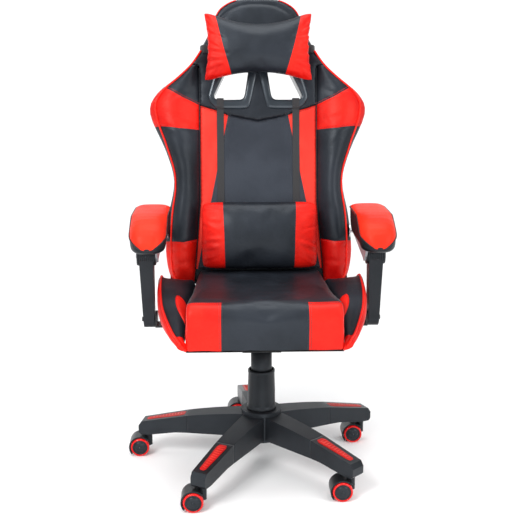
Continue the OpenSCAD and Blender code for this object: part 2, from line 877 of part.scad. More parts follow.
module lumbar_straps() {
    color("#18181a") both_sides() in_back() translate([94, 0, 0]) rotate([90, 0, 90])
        linear_extrude(19) polygon(concat([[60, panel_d + 0.4]],
            [for (p = [[-27, 12.4], [-19, 18.4], [1.3, 18.4], [1.3, -43.4], [-68, -43.4], [-68, -45],
                [3, -45], [3, 20], [-20, 20], [-28, 14]]) [opening_s + p[0], p[1]]],
            [[60, panel_d + 2]]));
}

module lumbar_pillow() {
    color("#c81e1e") in_back() translate([0, panel_low_s + lumbar_h / 2, panel_d + 2.4 + 44])
        rotate([90, 0, 90]) translate([0, 0, -lumbar_hw]) linear_extrude(2 * lumbar_hw)
            polygon([for (p = pillow_section(88, lumbar_h, 28)) [p[1], p[0]]]);
}

module head_pillow() {
    color("#c81e1e") in_back() translate([0, back_len - 235 + head_h / 2, head_d + 44])
        rotate([90, 0, 90]) translate([0, 0, -head_hw]) linear_extrude(2 * head_hw)
            polygon([for (p = pillow_section(86, head_h, 28)) [p[1], p[0]]]);
}

module head_strap() {
    w = neck_hw + 30;
    color("#18181a") in_back() translate([0, back_len - 118, 0]) rotate([90, 0, 0]) linear_extrude(24)
        difference() {
            translate([-w, -cover_back_d - 2.2]) square([2 * w, cover_back_d + head_d - 1]);
            translate([-w + 1.6, -cover_back_d - 0.6])
                square([2 * w - 3.2, cover_back_d + head_d - 4.2]);
        }
}

// ---------------------------------------------------------------- armrests

module arm_post() {
    color("#1b1b1d") difference() {
        union() {
            across(post_in, post_in + post_w) {
                translate(arm_low) circle(r = post_r - 3);
                polygon([[arm_low[0] - 20, arm_low[1] + 6], [arm_low[0] + 20, arm_low[1] + 2],
                    [arm_top[0] + 22, arm_top[1] - 8], [arm_top[0] - 22, arm_top[1] - 4]]);
            }
            pin_across(arm_top, 2 * post_r, knuckle_in, knuckle_in + knuckle_w);
        }
        pin_across(arm_low, arm_pin_d + 2 * run, 200, 400);
        pin_across(arm_top, arm_pin_d + 2 * run, 200, 400);
    }
}

module arm_post_right() {
    arm_post();
}

module arm_post_left() {
    mirror([1, 0, 0]) arm_post();
}

module arm_beam() {
    flange_z = arm_top[1] + post_r + 2;
    color("#a9acb1") {
        difference() {
            across(beam_in, beam_in + beam_t) {
                translate(arm_top) circle(r = 17);
                translate(arm_back) circle(r = 15);
                polygon([[arm_top[0], arm_top[1] - 14], [arm_back[0], arm_back[1] - 13],
                    [arm_back[0], arm_back[1] + 14], [70, flange_z + 5], [-40, flange_z + 5],
                    [-40, flange_z], [-18, arm_top[1]]]);
            }
            pin_across(arm_back, arm_pin_d + 1, 200, 400);
        }
        translate([beam_in, -40, flange_z]) cube([post_x + 20 - beam_in, 110, 5]);
        pin_across(arm_top, arm_pin_d, beam_in, knuckle_in + knuckle_w + 3);
    }
}

module arm_beam_right() {
    arm_beam();
}

module arm_beam_left() {
    mirror([1, 0, 0]) arm_beam();
}

module arm_pad() {
    r = 85;
    f = r - pad_len;
    color("#c81e1e") translate([pad_x, 0, 0]) intersection() {
        across(-pad_w / 2, pad_w / 2) polygon([[r, pad_low], [r, pad_top - 12], [r - 12, pad_top],
            [f + 110, pad_top], [f + 60, pad_top - 6], [f + 28, pad_top - 20], [f + 8, pad_top - 42],
            [f, pad_top - 62], [f + 2, pad_top - 74], [f + 14, pad_top - 80], [f + 50, pad_low + 8],
            [f + 100, pad_low]]);
        union() {
            translate([-pad_w / 2, f + pad_w / 2, 500]) cube([pad_w, pad_len - pad_w, 300]);
            translate([0, f + pad_w / 2, 500]) cylinder(d = pad_w, h = 300);
            translate([0, r - pad_w / 2, 500]) cylinder(d = pad_w, h = 300);
        }
    }
}

module arm_pad_right() {
    arm_pad();
}

module arm_pad_left() {
    mirror([1, 0, 0]) arm_pad();
}

// ---------------------------------------------------------------- assembly

base_star();
base_inserts();
gas_tube();
column_bushing();
cover_lower();
thrust_bearing();
gas_rod();
gas_cylinder();
cover_upper();
mech_housing();
tilt_axle();
tension_spring();
tension_knob();
lift_lever();
seat_plate();
seat_frame();
seat_webbing();
seat_cushion();
wing_left();
wing_right();
seat_bottom_cover();
seat_bolts();
hinge_plates();
hinge_pins();
hinge_covers();
recline_lever();
arm_mounts();
back_frame();
back_panel();
bolster_left();
bolster_right();
headrest_pad();
back_cover();
bezels();
lumbar_straps();
arm_studs();
lumbar_pillow();
head_pillow();
head_strap();
arm_post_left();
arm_post_right();
arm_beam_left();
arm_beam_right();
arm_pad_left();
arm_pad_right();
for (i = [1:5]) {
    caster_fork(i);
    caster_wheels(i);
    caster_treads(i);
}
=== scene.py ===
import json
import math

import bmesh
import bpy
import numpy as np
from mathutils import Matrix, Vector, noise
from mathutils.geometry import delaunay_2d_cdt


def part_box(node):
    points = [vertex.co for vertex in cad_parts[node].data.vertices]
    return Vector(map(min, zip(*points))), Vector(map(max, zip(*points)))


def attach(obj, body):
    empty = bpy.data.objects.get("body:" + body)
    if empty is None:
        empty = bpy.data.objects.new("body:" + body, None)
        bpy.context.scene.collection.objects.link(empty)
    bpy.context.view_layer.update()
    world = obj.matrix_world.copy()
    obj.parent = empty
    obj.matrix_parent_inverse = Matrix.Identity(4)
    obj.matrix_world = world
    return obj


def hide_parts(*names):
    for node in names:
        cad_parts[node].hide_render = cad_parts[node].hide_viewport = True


# ------------------------------------------------------------------ the frame
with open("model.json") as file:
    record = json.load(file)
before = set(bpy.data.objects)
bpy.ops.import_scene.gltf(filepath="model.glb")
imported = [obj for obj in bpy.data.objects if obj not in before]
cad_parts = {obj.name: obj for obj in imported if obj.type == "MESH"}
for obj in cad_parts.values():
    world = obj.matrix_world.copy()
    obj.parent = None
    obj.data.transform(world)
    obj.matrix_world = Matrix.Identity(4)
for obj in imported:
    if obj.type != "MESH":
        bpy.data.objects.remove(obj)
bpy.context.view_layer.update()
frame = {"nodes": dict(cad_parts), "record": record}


MM = 0.001
JOINTS = {j["name"]: j for j in frame["record"]["behaviour"]["joints"]}
UP = Vector(JOINTS["lumbar_pillow_slide"]["axis"]).normalized()
FRONT = Vector((0, -UP.z, UP.y))
HINGE = Vector(JOINTS["recline"]["pos_m"])
FOOT = HINGE + Vector((0, -0.010, 0.017))
ARM_TOP = Vector(JOINTS["arm_pad_right_level"]["pos_m"])
BASE_TURN = -29.0
NAME_OF = {1: "right", -1: "left"}


def on_back(x, s, d):
    """Chair position of a point on the leaning back: across, up from its foot and out in front, in mm."""
    return FOOT + Vector((x * MM, 0, 0)) + UP * (s * MM) + FRONT * (d * MM)


def in_chair(x, y, z):
    """Chair position of a point given in mm."""
    return Vector((x * MM, y * MM, z * MM))


def share(v):
    """The value held between 0 and 1."""
    return max(0.0, min(1.0, v))


def angles(n, start=0.0):
    """n angles round a circle, in radians."""
    return [math.tau * (k + start) / n for k in range(n)]


def in_scene(name, data):
    obj = bpy.data.objects.new(name.replace(" ", "_"), data)
    bpy.context.scene.collection.objects.link(obj)
    return obj


# ------------------------------------------------------------------ shading
class Wire:
    """One value inside a finish, added, scaled and compared like a number."""

    def __init__(self, finish, socket):
        self.finish = finish
        self.socket = socket

    def _math(self, kind, *terms):
        node = self.finish.tree.nodes.new("ShaderNodeMath")
        node.operation = kind
        for socket, term in zip(node.inputs, terms):
            self.finish.feed(socket, term)
        return Wire(self.finish, node.outputs[0])

    def __add__(self, other):
        return self._math("ADD", self, other)

    __radd__ = __add__

    def __sub__(self, other):
        return self._math("SUBTRACT", self, other)

    def __rsub__(self, other):
        return self._math("SUBTRACT", other, self)

    def __mul__(self, other):
        return self._math("MULTIPLY", self, other)

    __rmul__ = __mul__

    def __truediv__(self, other):
        return self._math("DIVIDE", self, other)

    def __rtruediv__(self, other):
        return self._math("DIVIDE", other, self)

    def __pow__(self, other):
        return self._math("POWER", self, other)

    def sine(self):
        return self._math("SINE", self)

    def step(self, low, high):
        """0 below low, 1 above high, smooth between."""
        node = self.finish.tree.nodes.new("ShaderNodeMapRange")
        node.interpolation_type = "SMOOTHSTEP"
        self.finish.feed(node.inputs["Value"], self)
        node.inputs["From Min"].default_value = low
        node.inputs["From Max"].default_value = high
        return Wire(self.finish, node.outputs["Result"])


class Finish:
    """A procedural material, with its fixed settings put straight on the shader."""

    def __init__(self, name, **settings):
        self.mat = bpy.data.materials.new(name)
        self.mat.use_nodes = True
        self.tree = self.mat.node_tree
        self.shader = self.tree.nodes["Principled BSDF"]
        for key, value in settings.items():
            self.shader.inputs[key.replace("_", " ")].default_value = value
        self.place = self.add("ShaderNodeTexCoord", out="Object")

    def feed(self, socket, value):
        if isinstance(value, Wire):
            self.tree.links.new(value.socket, socket)
        else:
            socket.default_value = value

    def add(self, kind, out=0, **inputs):
        node = self.tree.nodes.new(kind)
        for key, value in inputs.items():
            self.feed(node.inputs[key.replace("_", " ")], value)
        return Wire(self, node.outputs[out])

    def axes(self):
        node = self.tree.nodes.new("ShaderNodeSeparateXYZ")
        self.feed(node.inputs[0], self.place)
        return [Wire(self, node.outputs[i]) for i in range(3)]

    def grain(self, scale, detail=2.0, rough=0.5, spread=0.0):
        return self.add("ShaderNodeTexNoise", Vector=self.place, Scale=scale, Detail=detail,
                        Roughness=rough, Distortion=spread)

    def cells(self, scale):
        return self.add("ShaderNodeTexVoronoi", out="Distance", Vector=self.place, Scale=scale)

    def tint(self, factor, low, high):
        node = self.tree.nodes.new("ShaderNodeMix")
        node.data_type = "RGBA"
        self.feed(node.inputs[0], factor)
        self.feed(node.inputs[6], (*low, 1))
        self.feed(node.inputs[7], (*high, 1))
        return Wire(self, node.outputs[2])

    def colour(self, wire):
        self.feed(self.shader.inputs["Base Color"], wire)

    def rough(self, wire):
        self.feed(self.shader.inputs["Roughness"], wire)

    def relief(self, height, depth, strength=1.0, over=None):
        node = self.tree.nodes.new("ShaderNodeBump")
        node.inputs["Strength"].default_value = strength
        node.inputs["Distance"].default_value = depth
        self.feed(node.inputs["Height"], height)
        if over is not None:
            self.feed(node.inputs["Normal"], over)
        normal = Wire(self, node.outputs[0])
        self.feed(self.shader.inputs["Normal"], normal)
        return normal


COOL, WARM = (0.80, 0.90, 1.0, 1), (1.0, 0.80, 0.62, 1)
STEP_LINE = 0.198


def leather(name, dark, light, rough=0.42, creases=0.5, coat=0.08, pebble=900, shine=COOL):
    """Coated fabric: pebbled grain, soft creases and a slight sheen."""
    f = Finish(name, Coat_Weight=coat, Coat_Roughness=0.3, IOR=1.45, Specular_IOR_Level=0.32,
               Specular_Tint=shine)
    cloud = f.grain(9, 4, 0.55)
    f.colour(f.tint(cloud.step(0.32, 0.7), dark, light))
    pores = f.cells(pebble)
    fold = f.grain(26, 3, 0.6, 0.6)
    f.rough(rough - 0.10 * fold + 0.16 * pores)
    big = f.relief(f.grain(42, 2, 0.5, 1.2), 0.002, creases * 0.5)
    mid = f.relief(fold, 0.0035, creases * 0.6, big)
    f.relief(pores, 0.0004, 0.28, mid)
    return f.mat


def emboss(name, dark, light):
    """Coated fabric with a fine woven emboss for the centre panel."""
    f = Finish(name, Coat_Weight=0.03, IOR=1.45, Specular_IOR_Level=0.3, Specular_Tint=COOL)
    x, _, z = f.axes()
    weave = (x * 2600).sine() * (z * 2600).sine()
    cloud = f.grain(7, 4, 0.6)
    f.colour(f.tint(cloud.step(0.3, 0.72) * 0.8 + 0.1 * weave, dark, light))
    f.rough(0.56 - 0.12 * cloud)
    soft = f.relief(f.grain(30, 3, 0.5, 0.8), 0.003, 0.22)
    f.relief(weave, 0.0004, 0.35, soft)
    return f.mat


def moulded(name, dark, light, rough=0.5, tooth=700, bump=0.25, coat=0.0, gleam=0.3, shine=COOL):
    """Moulded plastic with a fine spark-eroded texture."""
    f = Finish(name, Coat_Weight=coat, IOR=1.5, Specular_IOR_Level=gleam, Specular_Tint=shine)
    speck = f.grain(tooth, 2, 0.6)
    cloud = f.grain(12, 3, 0.5)
    f.colour(f.tint(cloud.step(0.3, 0.7), dark, light))
    f.rough(rough + 0.12 * (cloud - 0.5))
    f.relief(speck, 0.0003, bump)
    return f.mat


def star_nylon():
    """Arm plastic: textured round the hub, smoother past the step line on each arm; its colour is lighter
    round the hub, a painted sheen.
    """
    f = Finish("star nylon", IOR=1.5, Specular_IOR_Level=0.36, Specular_Tint=COOL)
    x, y, _ = f.axes()
    out = (x * x + y * y) ** 0.5
    cloud, past = f.grain(12, 3, 0.5), out.step(STEP_LINE - 0.0008, STEP_LINE + 0.0008)
    # painted sheen: the cloud tone is the plastic's own, the lift of 0.4 round the hub stands for the sheen
    # of its textured part and drops past the step line
    tone_with_sheen = cloud.step(0.3, 0.7) * 0.6 + 0.4 - past * 0.4
    f.colour(f.tint(tone_with_sheen, (0.0055, 0.006, 0.0075), (0.014, 0.0155, 0.0185)))
    f.rough(0.50 - past * 0.17 + 0.1 * (cloud - 0.5))
    gap = (out - STEP_LINE) * 800
    speck = f.relief(f.grain(600, 2, 0.6), 0.0003, 0.35)
    f.relief(-1 / (gap * gap + 1), 0.0012, 1.0, speck)
    return f.mat


def metal(name, dark, light, rough=0.3, along=(1, 1, 1), brush=0.4):
    """Plated or painted steel with fine draw marks along one way."""
    f = Finish(name, Metallic=1.0)
    node = f.tree.nodes.new("ShaderNodeVectorMath")
    node.operation = "MULTIPLY"
    f.feed(node.inputs[0], f.place)
    f.feed(node.inputs[1], along)
    marks = f.add("ShaderNodeTexNoise", Vector=Wire(f, node.outputs[0]), Scale=500.0, Detail=3.0)
    f.colour(f.tint(f.grain(14, 3), dark, light))
    f.rough(rough + 0.2 * (marks - 0.5))
    f.relief(marks, 0.0002, brush)
    return f.mat


def painted(name, dark, light, rough=0.45):
    """Powder-coated steel with a slight orange peel."""
    f = Finish(name, IOR=1.5, Coat_Weight=0.05, Coat_Roughness=0.35, Specular_IOR_Level=0.3)
    f.colour(f.tint(f.grain(10, 3).step(0.3, 0.7), dark, light))
    f.rough(rough + 0.1 * (f.grain(60) - 0.5))
    f.relief(f.grain(420, 1), 0.0004, 0.3)
    return f.mat


def woven(name, dark, light, pitch=2000):
    """Polyester webbing with a ribbed weave."""
    f = Finish(name, Sheen_Weight=0.15)
    x, y, z = f.axes()
    rib = ((z + y * 0.3) * pitch).sine() * (x * pitch * 0.9).sine()
    f.colour(f.tint(rib * 0.5 + 0.5, dark, light))
    f.rough(0.75 - 0.1 * rib)
    f.relief(rib, 0.0006, 0.5)
    return f.mat


def felt(name, dark, light):
    """Non-woven lining: matted fibres."""
    f = Finish(name, Roughness=0.95, Sheen_Weight=0.1)
    fibre = f.grain(260, 5, 0.8, 2.0)
    f.colour(f.tint(fibre.step(0.3, 0.7), dark, light))
    f.relief(fibre, 0.0006, 0.4)
    return f.mat


BLACK = leather("black leather", (0.0062, 0.0076, 0.0108), (0.0145, 0.0172, 0.0232), 0.40, 0.36)
CHARCOAL = emboss("charcoal panel", (0.019, 0.022, 0.030), (0.033, 0.038, 0.050))
RED = leather("red leather", (0.50, 0.0015, 0.0015), (0.77, 0.009, 0.004), 0.44, 0.7, 0.03, shine=WARM)
STRIPE = leather("stripe leather", (0.66, 0.020, 0.014), (0.80, 0.036, 0.024), 0.50, 0.4, 0.03, shine=WARM)
PAD_RED = leather("pad leather", (0.62, 0.014, 0.003), (0.82, 0.026, 0.007), 0.48, 0.35, 0.03, shine=WARM)
PIPING = leather("piping", (0.66, 0.006, 0.003), (0.84, 0.012, 0.006), 0.42, 0.15, 0.05, shine=WARM)
PIPING_BLACK = leather("black piping", (0.005, 0.0055, 0.007), (0.010, 0.011, 0.013), 0.40, 0.1)
THREAD_BLACK = woven("black thread", (0.008, 0.008, 0.010), (0.022, 0.023, 0.026), 5200)
THREAD_RED = woven("red thread", (0.45, 0.004, 0.004), (0.72, 0.008, 0.008), 5200)
NYLON = moulded("black nylon", (0.0065, 0.0068, 0.008), (0.012, 0.0125, 0.014), 0.42, 650, 0.4)
HOOD = moulded("caster nylon", (0.006, 0.0062, 0.007), (0.011, 0.0115, 0.013), 0.32, 500, 0.12)
WHEEL = moulded("wheel nylon", (0.010, 0.0115, 0.014), (0.020, 0.022, 0.026), 0.30, 300, 0.1)
TREAD = moulded("tread", (0.60, 0.003, 0.006), (0.80, 0.008, 0.010), 0.22, 120, 0.06, 0.3, 0.3, WARM)
INSERT = moulded("arm insert", (0.42, 0.003, 0.004), (0.62, 0.008, 0.008), 0.40, 500, 0.3, 0.0, 0.3, WARM)
# painted highlight: the raised bars are the insert's own red plastic, coloured lighter than INSERT for the
# light they catch
LIT_RIDGE = moulded("raised red painted highlight", (0.66, 0.030, 0.022), (0.80, 0.060, 0.045), 0.34, 500, 0.1, 0.1, 0.5, WARM)
STAR = star_nylon()
STEEL_BLACK = painted("black powder coat", (0.008, 0.008, 0.009), (0.016, 0.016, 0.018))
STEEL = metal("zinc plate", (0.50, 0.51, 0.53), (0.66, 0.67, 0.69), 0.30, (0.05, 1, 1))
CHROME = metal("dark chrome", (0.10, 0.10, 0.11), (0.18, 0.18, 0.20), 0.14, (1, 1, 0.02), 0.15)
BEAM = painted("silver enamel", (0.30, 0.31, 0.33), (0.42, 0.43, 0.45), 0.34)
SPRING = metal("spring steel", (0.36, 0.37, 0.39), (0.52, 0.53, 0.55), 0.34)
TRIM = moulded("gloss trim", (0.010, 0.014, 0.019), (0.022, 0.028, 0.036), 0.30, 60, 0.05, 0.25, 0.5)
ACETAL = moulded("natural acetal", (0.70, 0.68, 0.61), (0.80, 0.78, 0.72), 0.4, 300, 0.1)
WEBBING = woven("black webbing", (0.010, 0.010, 0.011), (0.026, 0.026, 0.029), 1500)
ELASTIC = woven("elastic webbing", (0.030, 0.030, 0.030), (0.07, 0.07, 0.07), 900)
LINING = felt("bottom lining", (0.010, 0.010, 0.010), (0.030, 0.030, 0.030))


# ------------------------------------------------------------------ making pieces
def shade_smooth(mesh, smooth=True):
    mesh.polygons.foreach_set("use_smooth", [smooth] * len(mesh.polygons))


def build(name, verts, faces, mats, picks):
    """A closed mesh in chair coordinates, normals outwards; picks gives each face's finish."""
    mesh = bpy.data.meshes.new(name.replace(" ", "_"))
    mesh.from_pydata([tuple(v) for v in verts], [], [tuple(f) for f in faces])
    for mat in mats:
        mesh.materials.append(mat)
    mesh.polygons.foreach_set("material_index", list(picks))
    shade_smooth(mesh)
    bm = bmesh.new()
    bm.from_mesh(mesh)
    bmesh.ops.recalc_face_normals(bm, faces=bm.faces)
    bm.to_mesh(mesh)
    bm.free()
    return in_scene(name, mesh)


def fit(obj, body, slot, *nodes):
    """Puts a piece on its body, in place of the CAD nodes given; slot is not used."""
    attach(obj, body)
    if nodes:
        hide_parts(*nodes)
    return obj


def subdivide(obj):
    mod = obj.modifiers.new("smooth", "SUBSURF")
    mod.levels = mod.render_levels = 1
    return obj


def loft(name, rings, mats, picks=lambda i, j: 0, looped=False):
    """Skin through rings of points, looped or shut at its ends; picks gives each (ring, step) a finish."""
    n, m = len(rings[0]), len(rings)
    verts = [p for ring in rings for p in ring]
    faces, colours = [], []
    for i in range(m if looped else m - 1):
        for j in range(n):
            a, c = i * n, ((i + 1) % m) * n
            faces.append((a + j, a + (j + 1) % n, c + (j + 1) % n, c + j))
            colours.append(picks(i, j))
    if not looped:
        for i, end in ((0, -1), (m - 1, m)):
            verts.append(sum((Vector(p) for p in rings[i]), Vector()) / n)
            for j in range(n):
                faces.append((i * n + j, i * n + (j + 1) % n, len(verts) - 1))
                colours.append(picks(end, j))
    return build(name, verts, faces, mats, colours)


def lathe(name, profile, mats, turn):
    """Turned piece: profile is [(radius, height)] round the Z axis, then moved by turn."""
    rings = [[turn @ in_chair(r * math.cos(a), r * math.sin(a), h) for a in angles(64)] for r, h in profile]
    closed = profile[0] == profile[-1]
    return loft(name, rings[:-1] if closed else rings, mats, looped=closed)


def sweep(name, path, radius, mats, steps=10, up=Vector((0, 0, 1))):
    """Round cord along a path, shut at both ends."""
    pts = [Vector(p) for p in path]
    rings = []
    for i, p in enumerate(pts):
        t = (pts[min(i + 1, len(pts) - 1)] - pts[max(i - 1, 0)]).normalized()
        side = t.cross(up)
        side = side.normalized() if side.length > 1e-4 else Vector((1, 0, 0))
        top = side.cross(t).normalized()
        rings.append([p + (side * math.cos(a) + top * math.sin(a)) * radius * MM for a in angles(steps)])
    return loft(name, rings, mats)


def curve_through(keys, steps):
    """Smooth points through the keys."""
    keys = [np.array(k, float) for k in keys]
    out = []
    for i in range(len(keys) - 1):
        a, b = keys[max(i - 1, 0)], keys[i]
        c, d = keys[i + 1], keys[min(i + 2, len(keys) - 1)]
        for j in range(steps):
            t = j / steps
            out.append(0.5 * (2 * b + (c - a) * t + (2 * a - 5 * b + 4 * c - d) * t * t
                              + (3 * b - a - 3 * c + d) * t ** 3))
    out.append(keys[-1])
    return [tuple(p) for p in out]


def spaced(line, step, closed=False):
    """The line's points with no stretch longer than step."""
    out = []
    pts = [np.array(p, float) for p in line]
    ends = zip(pts, pts[1:] + [pts[0]]) if closed else zip(pts, pts[1:])
    for a, b in ends:
        n = max(1, int(math.ceil(np.linalg.norm(b - a) / step)))
        out.extend(a + (b - a) * k / n for k in range(n))
    if not closed:
        out.append(pts[-1])
    return out


def distance(points, lines):
    """Least distance from each flat point to the lines."""
    best = np.full(len(points), 1e9)
    for line in lines:
        line = np.array(line, float)
        a, b = line[:-1], line[1:]
        ab = b - a
        size = np.maximum((ab ** 2).sum(1), 1e-9)
        rel = points[:, None, :] - a[None]
        t = np.clip((rel * ab[None]).sum(2) / size[None], 0, 1)
        best = np.minimum(best, np.linalg.norm(rel - t[..., None] * ab[None], axis=2).min(1))
    return best


def inside(points, loop):
    """Which flat points lie inside the loop."""
    loop = np.array(loop, float)
    x, y = points[:, 0], points[:, 1]
    hit = np.zeros(len(points), bool)
    for (x0, y0), (x1, y1) in zip(loop, np.roll(loop, -1, axis=0)):
        if y0 != y1:
            crossing = ((y0 > y) != (y1 > y)) & (x < (x1 - x0) * (y - y0) / (y1 - y0) + x0)
            hit ^= crossing
    return hit


def uneven(x, y, z):
    """Smooth unevenness at a place, about -1 to 1."""
    return noise.fractal(Vector((x, y, z)), 1, 2, 2)


def ripple(points, pitch, seed):
    """The unevenness at each flat point."""
    return np.array([uneven(p[0] / pitch, p[1] / pitch, seed) for p in points])


def beside(line, offset):
    """The flat line moved sideways by offset."""
    line = np.array(line, float)
    way = np.gradient(line, axis=0)
    way /= np.maximum(np.linalg.norm(way, axis=1), 1e-9)[:, None]
    return line + np.stack([-way[:, 1], way[:, 0]], 1) * offset


def shut(loop):
    """The loop with its first point again at the end."""
    return list(loop) + [loop[0]]


def flat_at(depth):
    """A face at one depth."""
    return lambda p: np.full(len(p), depth)


def one_colour(p):
    return np.zeros(len(p), int)


def cut_pattern(loop, holes=(), seams=(), step=7.0):
    """Flat triangles whose edges follow the loop, the holes and the seams."""
    pts, edges = [], []

    def trace(line, closed):
        line = spaced(line, step, closed)
        start = len(pts)
        pts.extend(tuple(p) for p in line)
        n = len(line)
        edges.extend((start + i, start + (i + 1) % n) for i in range(n if closed else n - 1))
        return [tuple(p) for p in line] + ([tuple(line[0])] if closed else [])

    rails = [trace(loop, True)] + [trace(h, True) for h in holes]
    sewn = [trace(s, False) for s in seams]
    flanks = []
    for line in sewn:
        flanks.extend([beside(line, 3.0), beside(line, -3.0)])
    low, high = np.array(loop).min(0), np.array(loop).max(0)
    rows = np.arange(low[1], high[1], step * 0.87)
    grid = np.array([(x + (step / 2 if k % 2 else 0), y) for k, y in enumerate(rows)
                     for x in np.arange(low[0], high[0], step)])
    if flanks:
        near = np.concatenate(flanks)
        near = near[distance(near, rails) > step * 0.5]
    else:
        near = np.zeros((0, 2))
    grid = grid[distance(grid, rails + sewn) > step * 0.62]
    extra = np.concatenate([near, grid])
    keep = inside(extra, loop)
    for h in holes:
        keep &= ~inside(extra, h)
    pts.extend(tuple(p) for p in extra[keep])
    out = delaunay_2d_cdt([Vector(p) for p in pts], edges, [], 0, 1e-3)
    flat = np.array([(v.x, v.y) for v in out[0]])
    tris = np.array([f for f in out[2] if len(f) == 3])
    middle = flat[tris].mean(1)
    keep = inside(middle, loop)
    for h in holes:
        keep &= ~inside(middle, h)
    return flat, tris[keep]


def rim_edges(tris):
    """Edges that belong to one triangle only."""
    seen = {}
    for t in tris:
        for a, b in zip(t, np.roll(t, -1)):
            seen.setdefault((min(a, b), max(a, b)), []).append((a, b))
    return [v[0] for v in seen.values() if len(v) == 1]


def sewn_piece(name, place, loop, front, back, mats, paint=one_colour, holes=(), seams=(), step=7.0,
               side=None, rings=3):
    """Stuffed piece cut to the loop: front and back give its two faces, side rounds its edge."""
    flat, tris = cut_pattern(loop, holes, seams, step)
    top, low = front(flat), back(flat)
    rim = rim_edges(tris)
    rim_ids = sorted({v for e in rim for v in e})
    slot_of = {v: k for k, v in enumerate(rim_ids)}
    n = len(flat)
    verts = [place(p[0], p[1], d) for p, d in zip(flat, top)]
    verts += [place(p[0], p[1], d) for p, d in zip(flat, low)]
    base = []
    for r in range(rings):
        base.append(len(verts))
        t = (r + 1) / (rings + 1)
        for v in rim_ids:
            x, s = flat[v]
            d = top[v] + (low[v] - top[v]) * t
            if side:
                x, s = side(x, s, t)
            verts.append(place(x, s, d))
    if side:
        for v in rim_ids:
            x, s = side(flat[v][0], flat[v][1], 1.0)
            verts[n + v] = place(x, s, low[v])
    faces, picks = [], []
    for t, k in zip(tris, paint(flat[tris].mean(1))):
        faces += [tuple(t), tuple(n + v for v in reversed(t))]
        picks += [int(k)] * 2
    edge_mid = np.array([(flat[a] + flat[b]) / 2 for a, b in rim])
    for (a, b), k in zip(rim, paint(edge_mid)):
        col_a = [a] + [base[r] + slot_of[a] for r in range(rings)] + [n + a]
        col_b = [b] + [base[r] + slot_of[b] for r in range(rings)] + [n + b]
        for r in range(rings + 1):
            faces.append((col_a[r], col_b[r], col_b[r + 1], col_a[r + 1]))
            picks.append(int(k))
    return build(name, verts, faces, mats, picks)


def fill_out(obj, held, pressure, most, bend):
    """Lets the cover swell over its stuffing with its seams held, and keeps that shape up to most mm out."""
    frames = 20
    before = np.array([v.co for v in obj.data.vertices])
    group = obj.vertex_groups.new(name="held")
    for i, w in held.items():
        if w > 0.01:
            group.add([int(i)], float(w), "REPLACE")
    scene = bpy.context.scene
    cloth = obj.modifiers.new("cover", "CLOTH")
    s = cloth.settings
    s.quality = 5
    s.mass = 0.25
    s.tension_stiffness = 18
    s.compression_stiffness = 14
    s.shear_stiffness = 8
    s.bending_stiffness = bend
    s.air_damping = 3
    s.use_pressure = True
    s.uniform_pressure_force = pressure
    s.shrink_min = -0.004
    s.vertex_group_mass = "held"
    s.effector_weights.gravity = 0
    cloth.collision_settings.use_collision = False
    cloth.point_cache.frame_start = 1
    cloth.point_cache.frame_end = frames
    for f in range(1, frames + 1):
        scene.frame_set(f)
    deps = bpy.context.evaluated_depsgraph_get()
    shape = obj.evaluated_get(deps).to_mesh()
    after = np.array([v.co for v in shape.vertices])
    obj.evaluated_get(deps).to_mesh_clear()
    obj.modifiers.remove(cloth)
    obj.vertex_groups.remove(group)
    scene.frame_set(1)
    move = after - before
    move *= np.minimum(1, most * MM / np.maximum(np.linalg.norm(move, axis=1), 1e-9))[:, None]
    obj.data.vertices.foreach_set("co", (before + move).ravel())
    obj.data.update()


def settle(obj, rounds):
    """Evens out a filled cover."""
    mod = obj.modifiers.new("settle", "SMOOTH")
    mod.factor = 0.5
    mod.iterations = rounds


def eased(node, body, slot, mat, width, segments, angle=35):
    """The CAD piece with its corners eased, standing for it."""
    mesh = frame["nodes"][node].data.copy()
    mesh.name = node + " eased"
    bm = bmesh.new()
    bm.from_mesh(mesh)
    bmesh.ops.remove_doubles(bm, verts=bm.verts, dist=1e-6)
    bmesh.ops.dissolve_limit(bm, angle_limit=math.radians(1.0), verts=bm.verts, edges=bm.edges)
    bm.to_mesh(mesh)
    bm.free()
    mesh.materials.clear()
    mesh.materials.append(mat)
    shade_smooth(mesh)
    if mesh.has_custom_normals:
        mesh.attributes.remove(mesh.attributes["custom_normal"])
    obj = in_scene(node + "_eased", mesh)
    bevel = obj.modifiers.new("ease", "BEVEL")
    bevel.width = width * MM
    bevel.segments = segments
    bevel.limit_method = "ANGLE"
    bevel.angle_limit = math.radians(angle)
    bevel.use_clamp_overlap = True
    bevel.harden_normals = True
    return fit(obj, body, slot, node)


def keep(node, mat):
    """Shows the CAD piece itself, with its finish."""
    mesh = frame["nodes"][node].data
    mesh.materials.clear()
    mesh.materials.append(mat)


